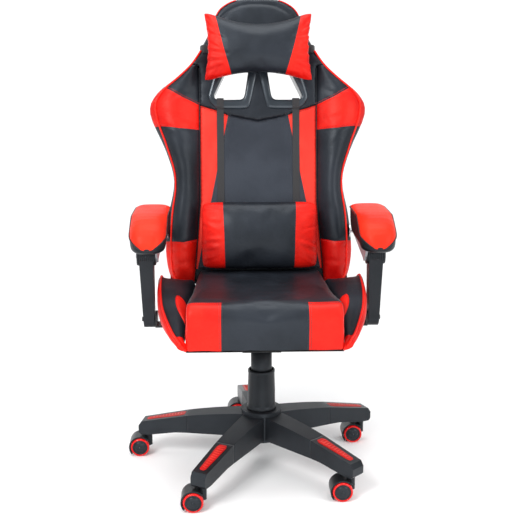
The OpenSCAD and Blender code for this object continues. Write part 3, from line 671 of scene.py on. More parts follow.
# ------------------------------------------------------------------ stitches
def stitch_tree():
    """Geometry nodes that lay one thread stitch after another along a seam."""
    tree = bpy.data.node_groups.new("stitch row", "GeometryNodeTree")
    face = tree.interface
    face.new_socket("Geometry", in_out="INPUT", socket_type="NodeSocketGeometry")
    for name, value in (("Pitch", 0.004), ("Length", 0.003), ("Thread", 0.0004)):
        face.new_socket(name, in_out="INPUT", socket_type="NodeSocketFloat").default_value = value
    face.new_socket("Finish", in_out="INPUT", socket_type="NodeSocketMaterial")
    face.new_socket("Geometry", in_out="OUTPUT", socket_type="NodeSocketGeometry")
    new, link = tree.nodes.new, tree.links.new
    given, result = new("NodeGroupInput"), new("NodeGroupOutput")
    curve, points = new("GeometryNodeMeshToCurve"), new("GeometryNodeCurveToPoints")
    points.mode = "LENGTH"
    thread, lay = new("GeometryNodeMeshCylinder"), new("GeometryNodeInstanceOnPoints")
    thread.inputs["Vertices"].default_value = 6
    real, shade = new("GeometryNodeRealizeInstances"), new("GeometryNodeSetMaterial")
    link(given.outputs["Geometry"], curve.inputs["Mesh"])
    link(curve.outputs["Curve"], points.inputs["Curve"])
    link(given.outputs["Pitch"], points.inputs["Length"])
    link(points.outputs["Points"], lay.inputs["Points"])
    link(points.outputs["Rotation"], lay.inputs["Rotation"])
    link(given.outputs["Length"], thread.inputs["Depth"])
    link(given.outputs["Thread"], thread.inputs["Radius"])
    link(thread.outputs["Mesh"], lay.inputs["Instance"])
    link(lay.outputs["Instances"], real.inputs["Geometry"])
    link(real.outputs["Geometry"], shade.inputs["Geometry"])
    link(given.outputs["Finish"], shade.inputs["Material"])
    link(shade.outputs["Geometry"], result.inputs["Geometry"])
    return tree


STITCHES = stitch_tree()


def set_input(mod, name, value):
    for item in mod.node_group.interface.items_tree:
        if item.name == name and getattr(item, "in_out", "") == "INPUT":
            mod[item.identifier] = value


def as_built(obj):
    """The piece's mesh with its modifiers worked in."""
    bpy.context.view_layer.update()
    return bpy.data.meshes.new_from_object(obj.evaluated_get(bpy.context.evaluated_depsgraph_get()))


def stitch(name, lines, mat, body, slot):
    """Rows of stitches along lines of chair points."""
    verts, edges = [], []
    for line in lines:
        start = len(verts)
        verts.extend(line)
        edges.extend((start + i, start + i + 1) for i in range(len(line) - 1))
    mesh = bpy.data.meshes.new(name)
    mesh.from_pydata(verts, edges, [])
    carrier = in_scene(name + " path", mesh)
    mod = carrier.modifiers.new("stitches", "NODES")
    mod.node_group = STITCHES
    for key, value in (("Pitch", 4.2 * MM), ("Length", 3.2 * MM), ("Thread", 0.45 * MM), ("Finish", mat)):
        set_input(mod, key, value)
    sewn = in_scene(name, as_built(carrier))
    bpy.data.objects.remove(carrier)
    fit(sewn, body, slot)


# ------------------------------------------------------------------ the back
BACK_KEYS = [(220, 3), (244, 26), (256, 95), (248, 190), (232, 285), (254, 370), (296, 470), (279, 524),
             (220, 573), (180, 613), (138, 682), (113, 745), (85, 770), (57, 781)]
OUTLINE = np.array(curve_through(BACK_KEYS, 4))
PANEL_HW = 160.0
TOP_SEAM = 600.0
FACE_EDGE = np.array([[3, 9], [95, 17], [190, 12], [285, 6], [370, 8], [470, 18], [524, 15], [573, 10],
                      [613, 8], [682, 6], [781, 5]], float)
CREST = np.array([[3, 18], [40, 37], [95, 44], [300, 44], [430, 45], [500, 40], [560, 31], [600, 26],
                  [640, 21], [700, 15], [781, 13]], float)


def x_out(s):
    """Half the back's width at a height."""
    return np.interp(s, OUTLINE[:, 1], OUTLINE[:, 0])


def x_face(s):
    """Where the front face ends and the piping runs, inside the outline."""
    return x_out(s) - np.interp(s, FACE_EDGE[:, 0], FACE_EDGE[:, 1])


def seam_x(s):
    """Where the bolsters meet the centre panel."""
    return PANEL_HW + 18 * np.maximum(0, 230 - np.asarray(s)) / 230


def crest(s):
    """How far a bolster stands out."""
    return np.interp(s, CREST[:, 0], CREST[:, 1])


def face_edge_depth(s):
    return np.minimum(crest(s), 24.0) * 0.96


def dome(t):
    """A quarter round from 0 at t = 0 to 1 at t = 1."""
    return np.sqrt(np.maximum(0, 1 - (1 - np.clip(t, 0, 1)) ** 2))


def groove(points, lines, depth, width):
    """The dip a row of stitches pulls along its lines."""
    return depth * np.exp(-(distance(points, lines) / width) ** 2)


def both_sides(line):
    """The line on the right, then on the left."""
    return [[(side * x, s) for x, s in line] for side in (1, -1)]


def roll_out(x, s, t):
    """The rounded wall from the piping to the outline, t of the way round."""
    grown = abs(x) + (float(x_out(s)) - float(x_face(s))) * math.sin(t * math.pi / 2) ** 1.2
    return math.copysign(grown, x), s


def bolster_face(points, seams, side):
    """Depth of a bolster's face: low at the inner seam, full in the middle, rolled at the piping."""
    x, s = np.abs(points[:, 0]), points[:, 1]
    a, b = seam_x(s), x_face(s)
    u = np.clip((x - a) / np.maximum(b - a, 1), 0, 1)
    end = np.clip((s - 3) / 50, 0, 1) ** 0.5
    flat = 13 + (face_edge_depth(s) - 13) * u
    swell = np.maximum(0, crest(s) - (13 + face_edge_depth(s)) / 2) * np.sin(np.pi * u ** 1.2) ** 0.75
    near = distance(points, seams)
    gather = 1.5 * np.exp(-near / 13) * ripple(points, 11, 3.1 + side)
    soft = 2.2 * ripple(points, 75, 9.2 + side) * np.sin(np.pi * u)
    pull = 0
    for (cx, cs), (dx, ds), n, size in CREASES:
        across = (x - cx) * -ds + (s - cs) * dx
        along = (x - cx) * dx + (s - cs) * ds
        pull = pull + size * np.cos(across / n) * np.exp(-(across / (2.4 * n)) ** 2 - (along / 38) ** 2)
    low = np.clip((140 - s) / 30, 0, 1) * np.clip(s / 14, 0, 1)
    tuck = 1.7 * low * np.exp(-(b - x) / 20) * np.sin(s / 3.6 + 1.6 * np.sin(s / 17 + side))
    soft = soft + gather + tuck - pull * np.sin(np.pi * u)
    return flat + swell * end + soft - groove(points, seams, 2.2, 2.8)


CREASES = [((214, 520), (0.93, -0.36), 4.5, 1.6), ((205, 455), (0.96, 0.28), 5.0, 1.5),
           ((225, 402), (0.75, 0.66), 5.5, 1.0), ((215, 60), (0.98, -0.2), 4.0, 1.3),
           ((222, 96), (0.99, 0.1), 4.2, 1.4)]


def patch_lines(side):
    """The seams of a bolster's red patches."""
    lower = [(165, 127), (205, 118), (246, 121)]
    under = [(160, 425), (215, 427), (282, 436)]
    over = [(160, 493), (205, 512), (248, 537), (262, 545)]
    return [[(side * x, s) for x, s in line] for line in (lower, under, over)]


def level(line, x):
    """The height of a seam at x."""
    line = sorted((abs(a), b) for a, b in line)
    return np.interp(np.abs(x), [p[0] for p in line], [p[1] for p in line])


def bolster(side):
    s = np.linspace(4, TOP_SEAM, 90)
    inner = [(float(seam_x(v)) + 0.8, v) for v in s]
    outer = [(float(x_face(v)), v) for v in s[::-1]]
    loop = [(side * x, v) for x, v in inner + outer]
    lines = patch_lines(side)
    edge = [[(side * x, v) for x, v in inner]]
    lower, under, over = lines

    def paint(p):
        s = p[:, 1]
        red = (s < level(lower, p[:, 0])) | ((s > level(under, p[:, 0])) & (s < level(over, p[:, 0])))
        return red.astype(int)

    def roll(x, s, t):
        if abs(x) < float(x_face(s)) - 1.5 and abs(abs(x) - float(seam_x(s))) < 6:
            return x, s
        return roll_out(x, s, t)

    obj = sewn_piece("bolster " + NAME_OF[side], on_back, loop,
                     lambda p: bolster_face(p, lines + edge, side), flat_at(-3.0), [BLACK, RED], paint,
                     seams=lines, step=6.5, side=roll, rings=4)
    fit(obj, "back", "coated_fabric_red", "bolster_" + NAME_OF[side])
    return obj


BOLSTERS = [bolster(1), bolster(-1)]

V_SEAM = [(-160, 493), (-110, 478), (-85, 467), (0, 450), (85, 467), (110, 478), (160, 493)]


def stripe_edge(s):
    """Where the red stripes meet the charcoal."""
    return 82 + 0.205 * (467 - np.asarray(s, float))


def centre_panel():
    s = np.linspace(45, 488, 70)
    right = [(float(seam_x(v)) - 0.6, v) for v in s]
    loop = right + list(reversed(V_SEAM)) + [(-x, v) for x, v in reversed(right)]
    inner = both_sides([(float(stripe_edge(v)), v) for v in np.linspace(47, 476, 40)])
    rims = both_sides(right) + [V_SEAM]

    def face(p):
        near = distance(p, rims)
        edge = distance(p, inner)
        puff = 3.0 * dome(near / 22)
        gather = 0.7 * np.exp(-near / 15) * ripple(p, 14, 4.0) + 0.9 * ripple(p, 90, 2.0)
        return 8.8 + puff + gather - 1.3 * np.exp(-(edge / 3.2) ** 2) + 1.2 * np.exp(-((edge - 9) / 8) ** 2)

    def paint(p):
        return (np.abs(p[:, 0]) > stripe_edge(p[:, 1])).astype(int)

    obj = sewn_piece("centre panel", on_back, loop, face, flat_at(-3.0), [CHARCOAL, STRIPE], paint,
                     seams=inner, step=7.5, rings=2)
    fit(obj, "back", "coated_fabric_charcoal", "back_panel")
    return obj, inner


PANEL, STRIPE_SEAMS = centre_panel()

HOLE = [(46, 508), (114, 508), (122, 518), (84, 595), (78, 602), (31, 602), (25, 596), (37, 516)]
RIM = [(31, 489), (114, 489), (136, 514), (101, 610), (93, 618), (11, 618), (3, 609), (22, 513)]


def rounded(loop):
    """The loop with its corners cut round, keeping matching points between loops."""
    pts = [np.array(p, float) for p in loop]
    for cut in (0.13, 0.25, 0.25):
        out = []
        for i, p in enumerate(pts):
            q = pts[(i + 1) % len(pts)]
            out += [p + (q - p) * cut, q - (q - p) * cut]
        pts = out
    return pts


HOLE_LINE = rounded(HOLE)
RIM_LINE = rounded(RIM)
SLEEVES = both_sides([h + 0.5 * (r - h) for h, r in zip(HOLE_LINE, RIM_LINE)])
SLEEVE_RIMS = [shut(line) for line in SLEEVES]


def at_sleeve(x, s):
    return distance(np.array([[x, s]]), SLEEVE_RIMS)[0] < 3


def headrest():
    s = np.linspace(TOP_SEAM + 0.6, 781, 46)
    right = [(PANEL_HW, 493)] + [(PANEL_HW, v) for v in np.linspace(505, TOP_SEAM, 9)]
    right += [(float(x_face(v)), v) for v in s]
    top = [(57 * math.cos(a), 779 + 2 * math.sin(a)) for a in np.linspace(0.2, math.pi - 0.2, 11)]
    loop = right + top + [(-x, v) for x, v in reversed(right)]
    loop += V_SEAM[1:-1]
    arch = [(x, 769 - 42 * (abs(x) / 104) ** 2.6) for x in np.linspace(-104, 104, 31)]
    seams = [arch] + both_sides([(97, 727), (104, 700), (121, 672)])
    bounds = both_sides(right) + [V_SEAM]

    def face(p):
        x, s = np.abs(p[:, 0]), p[:, 1]
        near = distance(p, bounds)
        rise = np.clip((x - 128) / 50, 0, 1) * np.clip((s - 560) / 40, 0, 1)
        body = 11.5 + np.maximum(0, face_edge_depth(s) - 9) * rise
        crown = np.clip((s - 640) / 40, 0, 1) * np.clip((112 - x) / 30, 0, 1)
        puff = 3.5 * dome(near / 26) + 5.5 * dome((769 - 42 * (x / 104) ** 2.6 - s) / 40) * crown
        hem = 2.0 * np.exp(-distance(p, SLEEVE_RIMS) / 12)
        tired = 1.3 * np.exp(-near / 18) * ripple(p, 12, 6.0) + 1.4 * ripple(p, 60, 5.0)
        return body + puff - hem + tired - groove(p, seams, 2.6, 3.6)

    def roll(x, s, t):
        if s < TOP_SEAM + 1 or abs(x) < 60 or at_sleeve(x, s):
            return x, s
        return roll_out(x, s, t)

    obj = sewn_piece("headrest", on_back, loop, face, flat_at(-3.0), [BLACK], holes=SLEEVES, seams=seams,
                     side=roll)
    fit(obj, "back", "coated_fabric_black", "headrest_pad")
    return obj


HEADREST = headrest()


def rear_cover():
    loop = [(float(x_out(s)) - 9, min(max(s, 9), 775)) for _, s in OUTLINE]
    loop = loop + [(-x, s) for x, s in reversed(loop)]
    spine = both_sides([(118, 60), (112, 250), (128, 420), (158, 500)])
    yoke = [(x, 500 - 34 * math.cos(x / 158 * math.pi / 2)) for x in np.linspace(-158, 158, 21)]
    collar = [(x, 640 - 16 * math.cos(x / 140 * math.pi / 2)) for x in np.linspace(-140, 140, 17)]
    seams = spine + [yoke, collar]

    def face(p):
        near = distance(p, [shut(loop)])
        soft = 1.5 * np.exp(-near / 25) * ripple(p, 16, 7.0) + 1.6 * ripple(p, 95, 8.0)
        return -(33.0 + 6.2 * dome(near / 30)) + soft * 0.8 + groove(p, seams, 1.8, 3.4)

    def roll(x, s, t):
        if at_sleeve(x, s):
            return x, s
        out = 9 * math.sin(t * math.pi / 2)
        if s > 774.5 or s < 9.5:
            return x, s + (out * 0.6 if s > 400 else -out * 0.6)
        return math.copysign(abs(x) + out, x), s

    obj = sewn_piece("rear cover", on_back, loop, face, flat_at(-3.3), [BLACK], holes=SLEEVES, seams=seams,
                     step=9, side=roll, rings=4)
    fit(obj, "back", "coated_fabric_black", "back_cover")


rear_cover()


def back_point(x, s, lift):
    """A chair point on the front of the back, lift mm off it."""
    near = None
    for piece in BOLSTERS + [PANEL, HEADREST]:
        origin = on_back(x, s, 120)
        hit, at, normal, _ = piece.ray_cast(origin, -FRONT)
        if hit and (near is None or (at - origin).length < (near[0] - origin).length):
            near = (at, normal)
    return (near[0] if near else on_back(x, s, 12)) + FRONT * lift * MM


def edge_piping(side):
    """The cords along one bolster, over the crown and in the seam beside the centre panel."""
    edge = [on_back(side * (float(x_face(s)) + 0.4), s,
                    float(face_edge_depth(s)) + (1.2 if s < 600 else 0.4)) for s in np.linspace(640, 8, 110)]
    crown = [on_back(side * (float(x_face(s)) + 1.6), s, 12.0) for s in np.linspace(738, 779.5, 18)]
    inner = [back_point(side * float(seam_x(s)), s, 0.6) for s in np.linspace(46, 592, 90)]
    for name, path, radius, mat, slot in (("edge", edge, 2.7, PIPING, "coated_fabric_red"),
                                          ("crown", crown, 1.5, PIPING, "coated_fabric_red"),
                                          ("inner", inner, 1.3, PIPING_BLACK, "coated_fabric_black")):
        fit(sweep("%s piping %d" % (name, side), path, radius, [mat], up=FRONT), "back", slot)


for side in (1, -1):
    edge_piping(side)


def harness_trim(side):
    """Glossy frame round one opening, with its sleeve through the back."""
    steps = [(0.0, -42), (0.0, 8), (0.03, 14.0), (0.12, 17.0), (0.3, 18.3), (0.868, 18.0), (1.204, 16.8),
             (1.4, 14.5), (1.372, 13.0), (0.7, 12.6), (0.42, 10), (0.42, -43)]
    rings = [[on_back(side * (h[0] + out * (r[0] - h[0])), h[1] + out * (r[1] - h[1]), d)
              for h, r in zip(HOLE_LINE, RIM_LINE)] for out, d in steps]
    return loft("harness trim " + str(side), rings, [TRIM], looped=True)


def join(objs, name):
    """The pieces as one object."""
    bpy.ops.object.select_all(action="DESELECT")
    for o in objs:
        o.select_set(True)
    bpy.context.view_layer.objects.active = objs[0]
    bpy.ops.object.join()
    objs[0].name = name.replace(" ", "_")
    return objs[0]


fit(join([harness_trim(1), harness_trim(-1)], "harness trims"), "back", "trim_gloss", "bezels")
for node, mat in (("back_frame", STEEL_BLACK), ("arm_studs", STEEL), ("lumbar_straps", WEBBING)):
    keep(node, mat)


def neck_strap():
    """Strap that holds the head pillow, close round the neck of the back."""
    s, half = 652.0, 11.0
    edge = float(x_out(s)) + 1.2
    face = float(x_face(s))
    line = [(x, 14.5 + 9.0 * max(0.0, (abs(x) - 118) / 34) ** 1.3) for x in np.linspace(-face, face, 41)]
    turn = [(face + 4, line[-1][1] - 3), (edge + 0.8, 8), (edge + 1.8, -8), (edge + 1.2, -24),
            (edge - 4, -36)]
    line += turn
    line += [(x, -41.5 - 0.2 * math.cos(x / 60)) for x in np.linspace(edge - 16, -edge + 16, 31)]
    line += [(-x, d) for x, d in turn[::-1]]
    loop = curve_through(shut(line), 2)[:-1]
    section = ((1, -0.94), (1.1, 0), (1, 0.94), (0.5, 1), (-0.5, 1), (-1, 0.94), (-1, -0.94),
               (-0.5, -1), (0.5, -1))
    rings = []
    for k, (x, d) in enumerate(loop):
        ax, ad = loop[k - 1]
        bx, bd = loop[(k + 1) % len(loop)]
        size = math.hypot(bx - ax, bd - ad)
        nx, nd = -(bd - ad) / size * 0.8, (bx - ax) / size * 0.8
        rings.append([on_back(x + nx * a, s + half * b - 0.048 * abs(x), d + nd * a) for a, b in section])
    fit(loft("neck strap", rings, [WEBBING], looped=True), "head_pillow", "webbing_black", "head_strap")


neck_strap()


def seam_row(line, offset):
    """Points on the back beside a seam."""
    return [back_point(float(x), float(s), 0.1) for x, s in beside(spaced(line, 4.0), offset)]


rows_black, rows_red = [], []
for side, stripe in zip((1, -1), STRIPE_SEAMS):
    for line, way in zip(patch_lines(side), (-1, 1, 1)):
        rows_red.append(seam_row(line[:3], 4 * side * way))
    rows_black.append(seam_row(stripe, 4.0 * side))
for off in (4.5, -4.5):
    rows_black.append(seam_row(V_SEAM, off))
stitch("back stitches", rows_black, THREAD_BLACK, "back", "coated_fabric_black")
stitch("patch stitches", rows_red, THREAD_RED, "back", "coated_fabric_red")


# ------------------------------------------------------------------ pillows
def wrinkle(obj, folds, d_mid):
    """Presses folds into the front of a filled piece: a crease with a soft ridge beside it."""
    mesh = as_built(obj)
    obj.modifiers.clear()
    obj.data = mesh
    for vert in mesh.vertices:
        at = vert.co - FOOT
        x, s, d = at.x / MM, at.dot(UP) / MM, at.dot(FRONT) / MM
        inside = share((d - d_mid - 2) / 10)
        if inside == 0:
            continue
        push = 0.0
        for (ax, a_s), (bx, b_s), deep, wide in folds:
            long = math.hypot(bx - ax, b_s - a_s)
            ux, us = (bx - ax) / long, (b_s - a_s) / long
            along = ((x - ax) * ux + (s - a_s) * us) / long
            across = ((x - ax) * -us + (s - a_s) * ux) / wide
            if -0.3 < along < 1.4 and abs(across) < 5:
                fade = math.exp(-(max(0.0, -along) / 0.12) ** 2) * (1 - share(along / 1.3)) ** 0.7
                push += deep * fade * (0.6 * math.exp(-(across - 1.7) ** 2) - math.exp(-across ** 2))
        vert.co += vert.normal * push * inside * MM


def both_ends(folds):
    """The folds drawn for the right end, with their looser mirror on the left."""
    return folds + [((-ax, a_s + 5), (-bx + 4, b_s - 6), deep * 0.9, wide * 1.1)
                    for (ax, a_s), (bx, b_s), deep, wide in folds]


def pillow(name, corners, thick, d_mid, seam_at, top_dip, low_arch, pinch, folds):
    """Stuffed pillow with red ends: both faces are one grid, its seams are held while it fills."""
    (tx, ts), (bx, bs) = corners
    nu, nv = 57, 33
    us = [-1 + 2 * i / (nu - 1) for i in range(nu)]
    vs = [-1 + 2 * j / (nv - 1) for j in range(nv)]
    split = us[nu // 2 + 18]

    def seam_u(v):
        return float(np.interp(v, [-1, 0, 1], seam_at))

    def flat(u, v):
        t = (v + 1) / 2
        hw = (bx + (tx - bx) * t - pinch * (1 - v * v) ** 0.8) * (1 - 0.045 * abs(v) ** 12)
        q = abs(u)
        x = seam_u(v) * q / split if q <= split else seam_u(v) + (hw - seam_u(v)) * (q - split) / (1 - split)
        w = x / hw
        corner = 9 * abs(w) ** 12
        high = ts - top_dip * (1 - w * w) - corner
        low = bs + low_arch * (1 - w * w) + corner
        return math.copysign(x, u), low + (high - low) * t

    def bulge(u, v):
        w = flat(u, v)[0] / (bx + (tx - bx) * (v + 1) / 2)
        return (max(0, 1 - abs(w) ** 3.6) ** 0.55) * (max(0, 1 - abs(v) ** 2.6) ** 0.5)

    verts, index = [], {}
    for face in (1, -1):
        for i, u in enumerate(us):
            for j, v in enumerate(vs):
                edge = i in (0, nu - 1) or j in (0, nv - 1)
                if edge and face < 0:
                    index[(face, i, j)] = index[(1, i, j)]
                    continue
                x, s = flat(u, v)
                index[(face, i, j)] = len(verts)
                end = share((abs(x) - seam_u(v) - 2) / 16)
                wave = uneven(x / 60, s / 60, face * 7.0 + thick) * 1.5
                wave += end * 4.2 * uneven(x / 38, s / 11 + x / 30, face * 3.0 + thick)
                d = d_mid + face * (thick / 2 - 4) * bulge(u, v) + wave * min(1, 1.6 * bulge(u, v))
                verts.append(on_back(x, s, d))
    faces, picks, held = [], [], {}
    for face in (1, -1):
        for i in range(nu - 1):
            for j in range(nv - 1):
                quad = [index[(face, *at)] for at in ((i, j), (i + 1, j), (i + 1, j + 1), (i, j + 1))]
                faces.append(quad if face > 0 else quad[::-1])
                picks.append(1 if abs(us[i] + us[i + 1]) / 2 > split else 0)
    for (face, i, j), k in index.items():
        if i in (0, nu - 1) or j in (0, nv - 1):
            held[k] = 1.0
        elif abs(abs(us[i]) - split) < 0.5 / nu:
            held[k] = 0.75
    obj = build(name, verts, faces, [BLACK, RED], picks)
    fill_out(obj, held, 3.0, 7.0, 9.0)
    settle(obj, 5)
    subdivide(obj)
    wrinkle(obj, folds, d_mid)
    node = name.replace(" ", "_")
    fit(obj, node, "coated_fabric_red", node)


pillow("lumbar pillow", ((159, 229), (159, 43)), 90, 57, (92, 94, 98), 0, 0, 0,
       both_ends([((158, 196), (112, 204), 1.5, 4.5), ((158, 160), (118, 150), 1.3, 4.5),
                  ((158, 108), (108, 124), 2.0, 4.5), ((158, 84), (116, 104), 1.8, 4.0),
                  ((156, 56), (120, 80), 1.6, 4.0), ((100, 60), (104, 110), 0.9, 4.0)]))
pillow("head pillow", ((152, 743), (155, 540)), 84, 64, (70, 95, 117), 37, 31, 16,
       both_ends([((150, 730), (120, 690), 2.4, 4.0), ((141, 700), (112, 676), 2.2, 3.6),
                  ((138, 672), (100, 664), 2.6, 4.2), ((138, 648), (98, 630), 2.2, 3.8),
                  ((139, 622), (96, 624), 2.4, 4.4), ((143, 596), (90, 606), 2.6, 4.2),
                  ((150, 566), (100, 592), 2.6, 4.0), ((146, 548), (96, 566), 1.8, 3.6),
                  ((124, 552), (106, 590), 1.5, 3.4)]))


# ------------------------------------------------------------------ seat
SEAT_LOW = 388.0
PROFILE = [(-258, 388), (-262, 396), (-264, 430), (-264, 462), (-260, 480), (-250, 493), (-236, 499),
           (-200, 498.5), (-130, 492), (-60, 488.5), (0, 487), (80, 487), (150, 488), (163, 484),
           (167, 474), (167, 388)]


def cushion_hw(y):
    """Half the cushion's width."""
    return 192 + (168 - 192) * (y + 262) / (262 + 167)


def seat_cushion():
    """Seat pad: rows follow its profile from the front's foot over the crest to the rear."""
    line = curve_through(PROFILE, 5)
    nu = 61
    us = [-1 + 2 * i / (nu - 1) for i in range(nu)]
    verts = []
    for y, z in line:
        hw = cushion_hw(y)
        for u in us:
            edge = max(0, 1 - abs(u)) * hw
            drop = 0 if z < SEAT_LOW + 2 else 9 * (1 - float(dome(edge / 22)))
            inward = 5 * (1 - float(dome(edge / 16)))
            on_top = z > 470 and y > -220
            sag = -4.5 * math.exp(-((y - 20) / 110) ** 2) * (1 - abs(u) ** 2.4) if on_top else 0
            wave = 0.0
            if z < 402 and y < 0:
                wave = 2.0 * noise.noise(Vector((u * hw / 24, 3.3, 0)))
            px = math.copysign(abs(u) * hw - (inward if z > 440 else inward * 0.15), u) if u else 0.0
            sink = 1.6 * uneven(u * hw / 85, y / 85, 2.2)
            along = drop * (1 if z > 480 else 0.25)
            py = y + (drop * 0.6 if y < -250 and z > 396 else 0)
            pz = z - (along if z > 430 else 0) + sag + wave + (sink if z > 470 else 0)
            verts.append(in_chair(px, py, pz))
    n = len(line)
    faces, picks = [], []
    for r, (y, z) in enumerate(line):
        for i in range(nu - 1):
            a, b = r * nu + i, ((r + 1) % n) * nu + i
            faces.append((a, a + 1, b + 1, b))
            x = abs((us[i] + us[i + 1]) / 2 * cushion_hw(y))
            red = x > 103 and (y < -235 or z < 470) and y < 0 and r < n - 1
            picks.append(1 if red else 0)
    for i in (0, nu - 1):
        ring = [r * nu + i for r in range(n)]
        mid = len(verts)
        verts.append(sum((verts[k] for k in ring), Vector()) / n)
        for r in range(n):
            faces.append((ring[r], ring[(r + 1) % n], mid))
            picks.append(0)
    obj = build("seat cushion", verts, faces, [BLACK, RED], picks)
    held = {}
    for r, (y, z) in enumerate(line):
        for i, u in enumerate(us):
            x = abs(u * cushion_hw(y))
            k = r * nu + i
            if i in (0, nu - 1) or z < 392 or (y > 160 and z < 480):
                held[k] = 1.0
            elif (abs(x - 103) < 4 and y < -235) or (abs(y + 235) < 5 and z > 470 and x > 100):
                held[k] = 0.7
            elif z < 405:
                held[k] = 0.8
            elif y > 120:
                held[k] = 0.5
    fill_out(obj, held, 2.0, 4.0, 8.0)
    settle(obj, 4)
    subdivide(obj)
    fit(obj, "seat", "coated_fabric_black", "seat_cushion")
    return obj


SEAT = seat_cushion()


def on_seat(start, way, missed):
    """A point just off the cushion, found from start along way."""
    hit, at, normal, _ = SEAT.ray_cast(in_chair(*start), Vector(way))
    return at + normal * 0.3 * MM if hit else in_chair(*missed)


def seat_point(x, y):
    return on_seat((x, y, 600), (0, 0, -1), (x, y, 500))


seat_rows = []
for side in (1, -1):
    for off in (-4, 4):
        x = side * (103 + off)
        seat_rows.append([on_seat((x, -400, z), (0, 1, 0), (x, -263, z)) for z in np.linspace(397, 486, 24)]
                         + [seat_point(x, y) for y in np.linspace(-250, -237, 5)])
    for y in (-231, -239):
        seat_rows.append([seat_point(side * x, y) for x in np.linspace(104, 182, 22)])
stitch("seat stitches", seat_rows, THREAD_BLACK, "seat", "coated_fabric_black")

# from the front backwards: y, outer edge, height over the cushion's foot there and at the inner edge
WING_KEYS = [(-259, 201, 15, 11), (-248, 206, 22, 16), (-200, 224, 31, 24), (-120, 250, 64, 48),
             (-60, 259, 93, 68), (0, 262, 106, 78), (45, 263, 109, 82), (85, 260, 91, 89),
             (112, 250, 65, 97), (124, 249, 57, 68), (148, 244, 43, 32)]


def wing(side):
    """The raised side of the seat, with its piping and red insert."""
    stations = curve_through(WING_KEYS, 4)
    low = SEAT_LOW
    rings, crest_line = [], []
    for y, x, h, high in stations:
        z, inn = low + h, cushion_hw(y) + 0.8 - 10 * share((-225 - y) / 20)
        ease = 0.35 + 0.65 * math.sin(share((y + 261) / 26) * math.pi / 2)
        mid = inn + (x - inn) * 0.45
        part = high * ease
        raw = [(inn, low + 1), (inn, low + part * 0.55), (inn + 1, low + part * 0.86),
               (inn + (x - 10 - inn) * 0.30, low + part + (h * ease - part) * 0.42),
               (mid, low + part + (h * ease - part) * 0.72),
               (x - 13, z - 5.0), (x - 8, z - 1.2), (x - 4, z - 0.2), (x, z - 1.6), (x + 3.2, z - 6.0),
               (x + 4.6, z - 0.16 * h), (x + 4.8, z - 0.30 * h), (x + 2.6, low + 0.50 * h),
               (x - 1.5, low + 0.33 * h), (x - 6.5, low + 0.17 * h), (x - 12, low + 0.03 * h + 1),
               (x - 18, low + 0.2), (mid - 2, low)]
        ring = []
        for k, (px, pz) in enumerate(raw):
            soft = 1.1 * uneven(y / 34, k * 0.55, side * 3.0)
            lean = {0: 0.0, 1: 0.0, 16: 0.6, 17: 0.6}.get(k, 1.0)
            ring.append(in_chair(side * (px + soft * lean), y, pz + soft * 0.5))
        rings.append(ring)
        crest_line.append(in_chair(side * (x - 4), y, z + 0.8))

    def picks(i, j):
        i = max(0, min(i, len(stations) - 2))
        y = (stations[i][0] + stations[i + 1][0]) / 2
        return int(y <= 128 if j >= 7 else y < -215)

    obj = loft("wing " + str(side), rings, [BLACK, RED], picks)
    subdivide(obj)
    fit(obj, "seat", "coated_fabric_red", "wing_" + NAME_OF[side])
    fit(sweep("wing piping " + str(side), crest_line, 2.7, [PIPING]), "seat", "coated_fabric_red")

    def on_wing(a, b, lift):
        best = in_chair(side * (cushion_hw(a) + 0.8 + b), a, SEAT_LOW + 200)
        hit, at, normal, _ = obj.ray_cast(best, Vector((0, 0, -1)))
        return (at if hit else best - Vector((0, 0, 0.12))) + normal * lift * MM

    leaf = [(-150, 3), (-134, 13), (-112, 25), (-88, 33), (-66, 35), (-56, 31), (-58, 18), (-68, 8),
            (-84, 3), (-116, 2.4)]
    leaf = curve_through(shut(leaf), 3)[:-1]
    insert = sewn_piece("wing insert " + str(side), on_wing, leaf,
                        lambda p: 0.3 + 1.5 * dome(distance(p, [shut(leaf)]) / 7), flat_at(-1.2), [RED],
                        step=4, rings=1)
    fit(insert, "seat", "coated_fabric_red")


for side in (1, -1):
    wing(side)


def bottom_lining():
    """The thin black cloth under the seat, cut out round the bolts."""
    loop = [(-185, -256), (185, -256), (163, 163), (-163, 163)]
    loop = [tuple(p) for p in spaced(loop, 12, True)]
    bolts = [(x, y) for x in (-75, 75) for y in (-80, 80)] + [(x, y) for x in (-130, 130) for y in (-24, 4)]
    holes = [[(x + 6.5 * math.cos(a), y + 6.5 * math.sin(a)) for a in angles(16)] for x, y in bolts]
    z0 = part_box("seat_bottom_cover")[0].z / MM

    def low(p):
        return z0 - 0.5 - np.abs(ripple(p, 60, 1.0)) * np.clip(distance(p, [shut(loop)]) / 30, 0, 1)

    obj = sewn_piece("bottom lining", in_chair, loop, lambda p: low(p) + 1.0, low, [LINING], holes=holes,
                     step=12, rings=1)
    fit(obj, "seat", "lining_black", "seat_bottom_cover")


bottom_lining()
keep("seat_webbing", ELASTIC)


# ------------------------------------------------------------------ base and casters
eased("base_star", "base", "nylon_black", STAR, 2.4, 3, 25)
eased("base_inserts", "base", "insert_red", INSERT, 0.8, 2, 30)


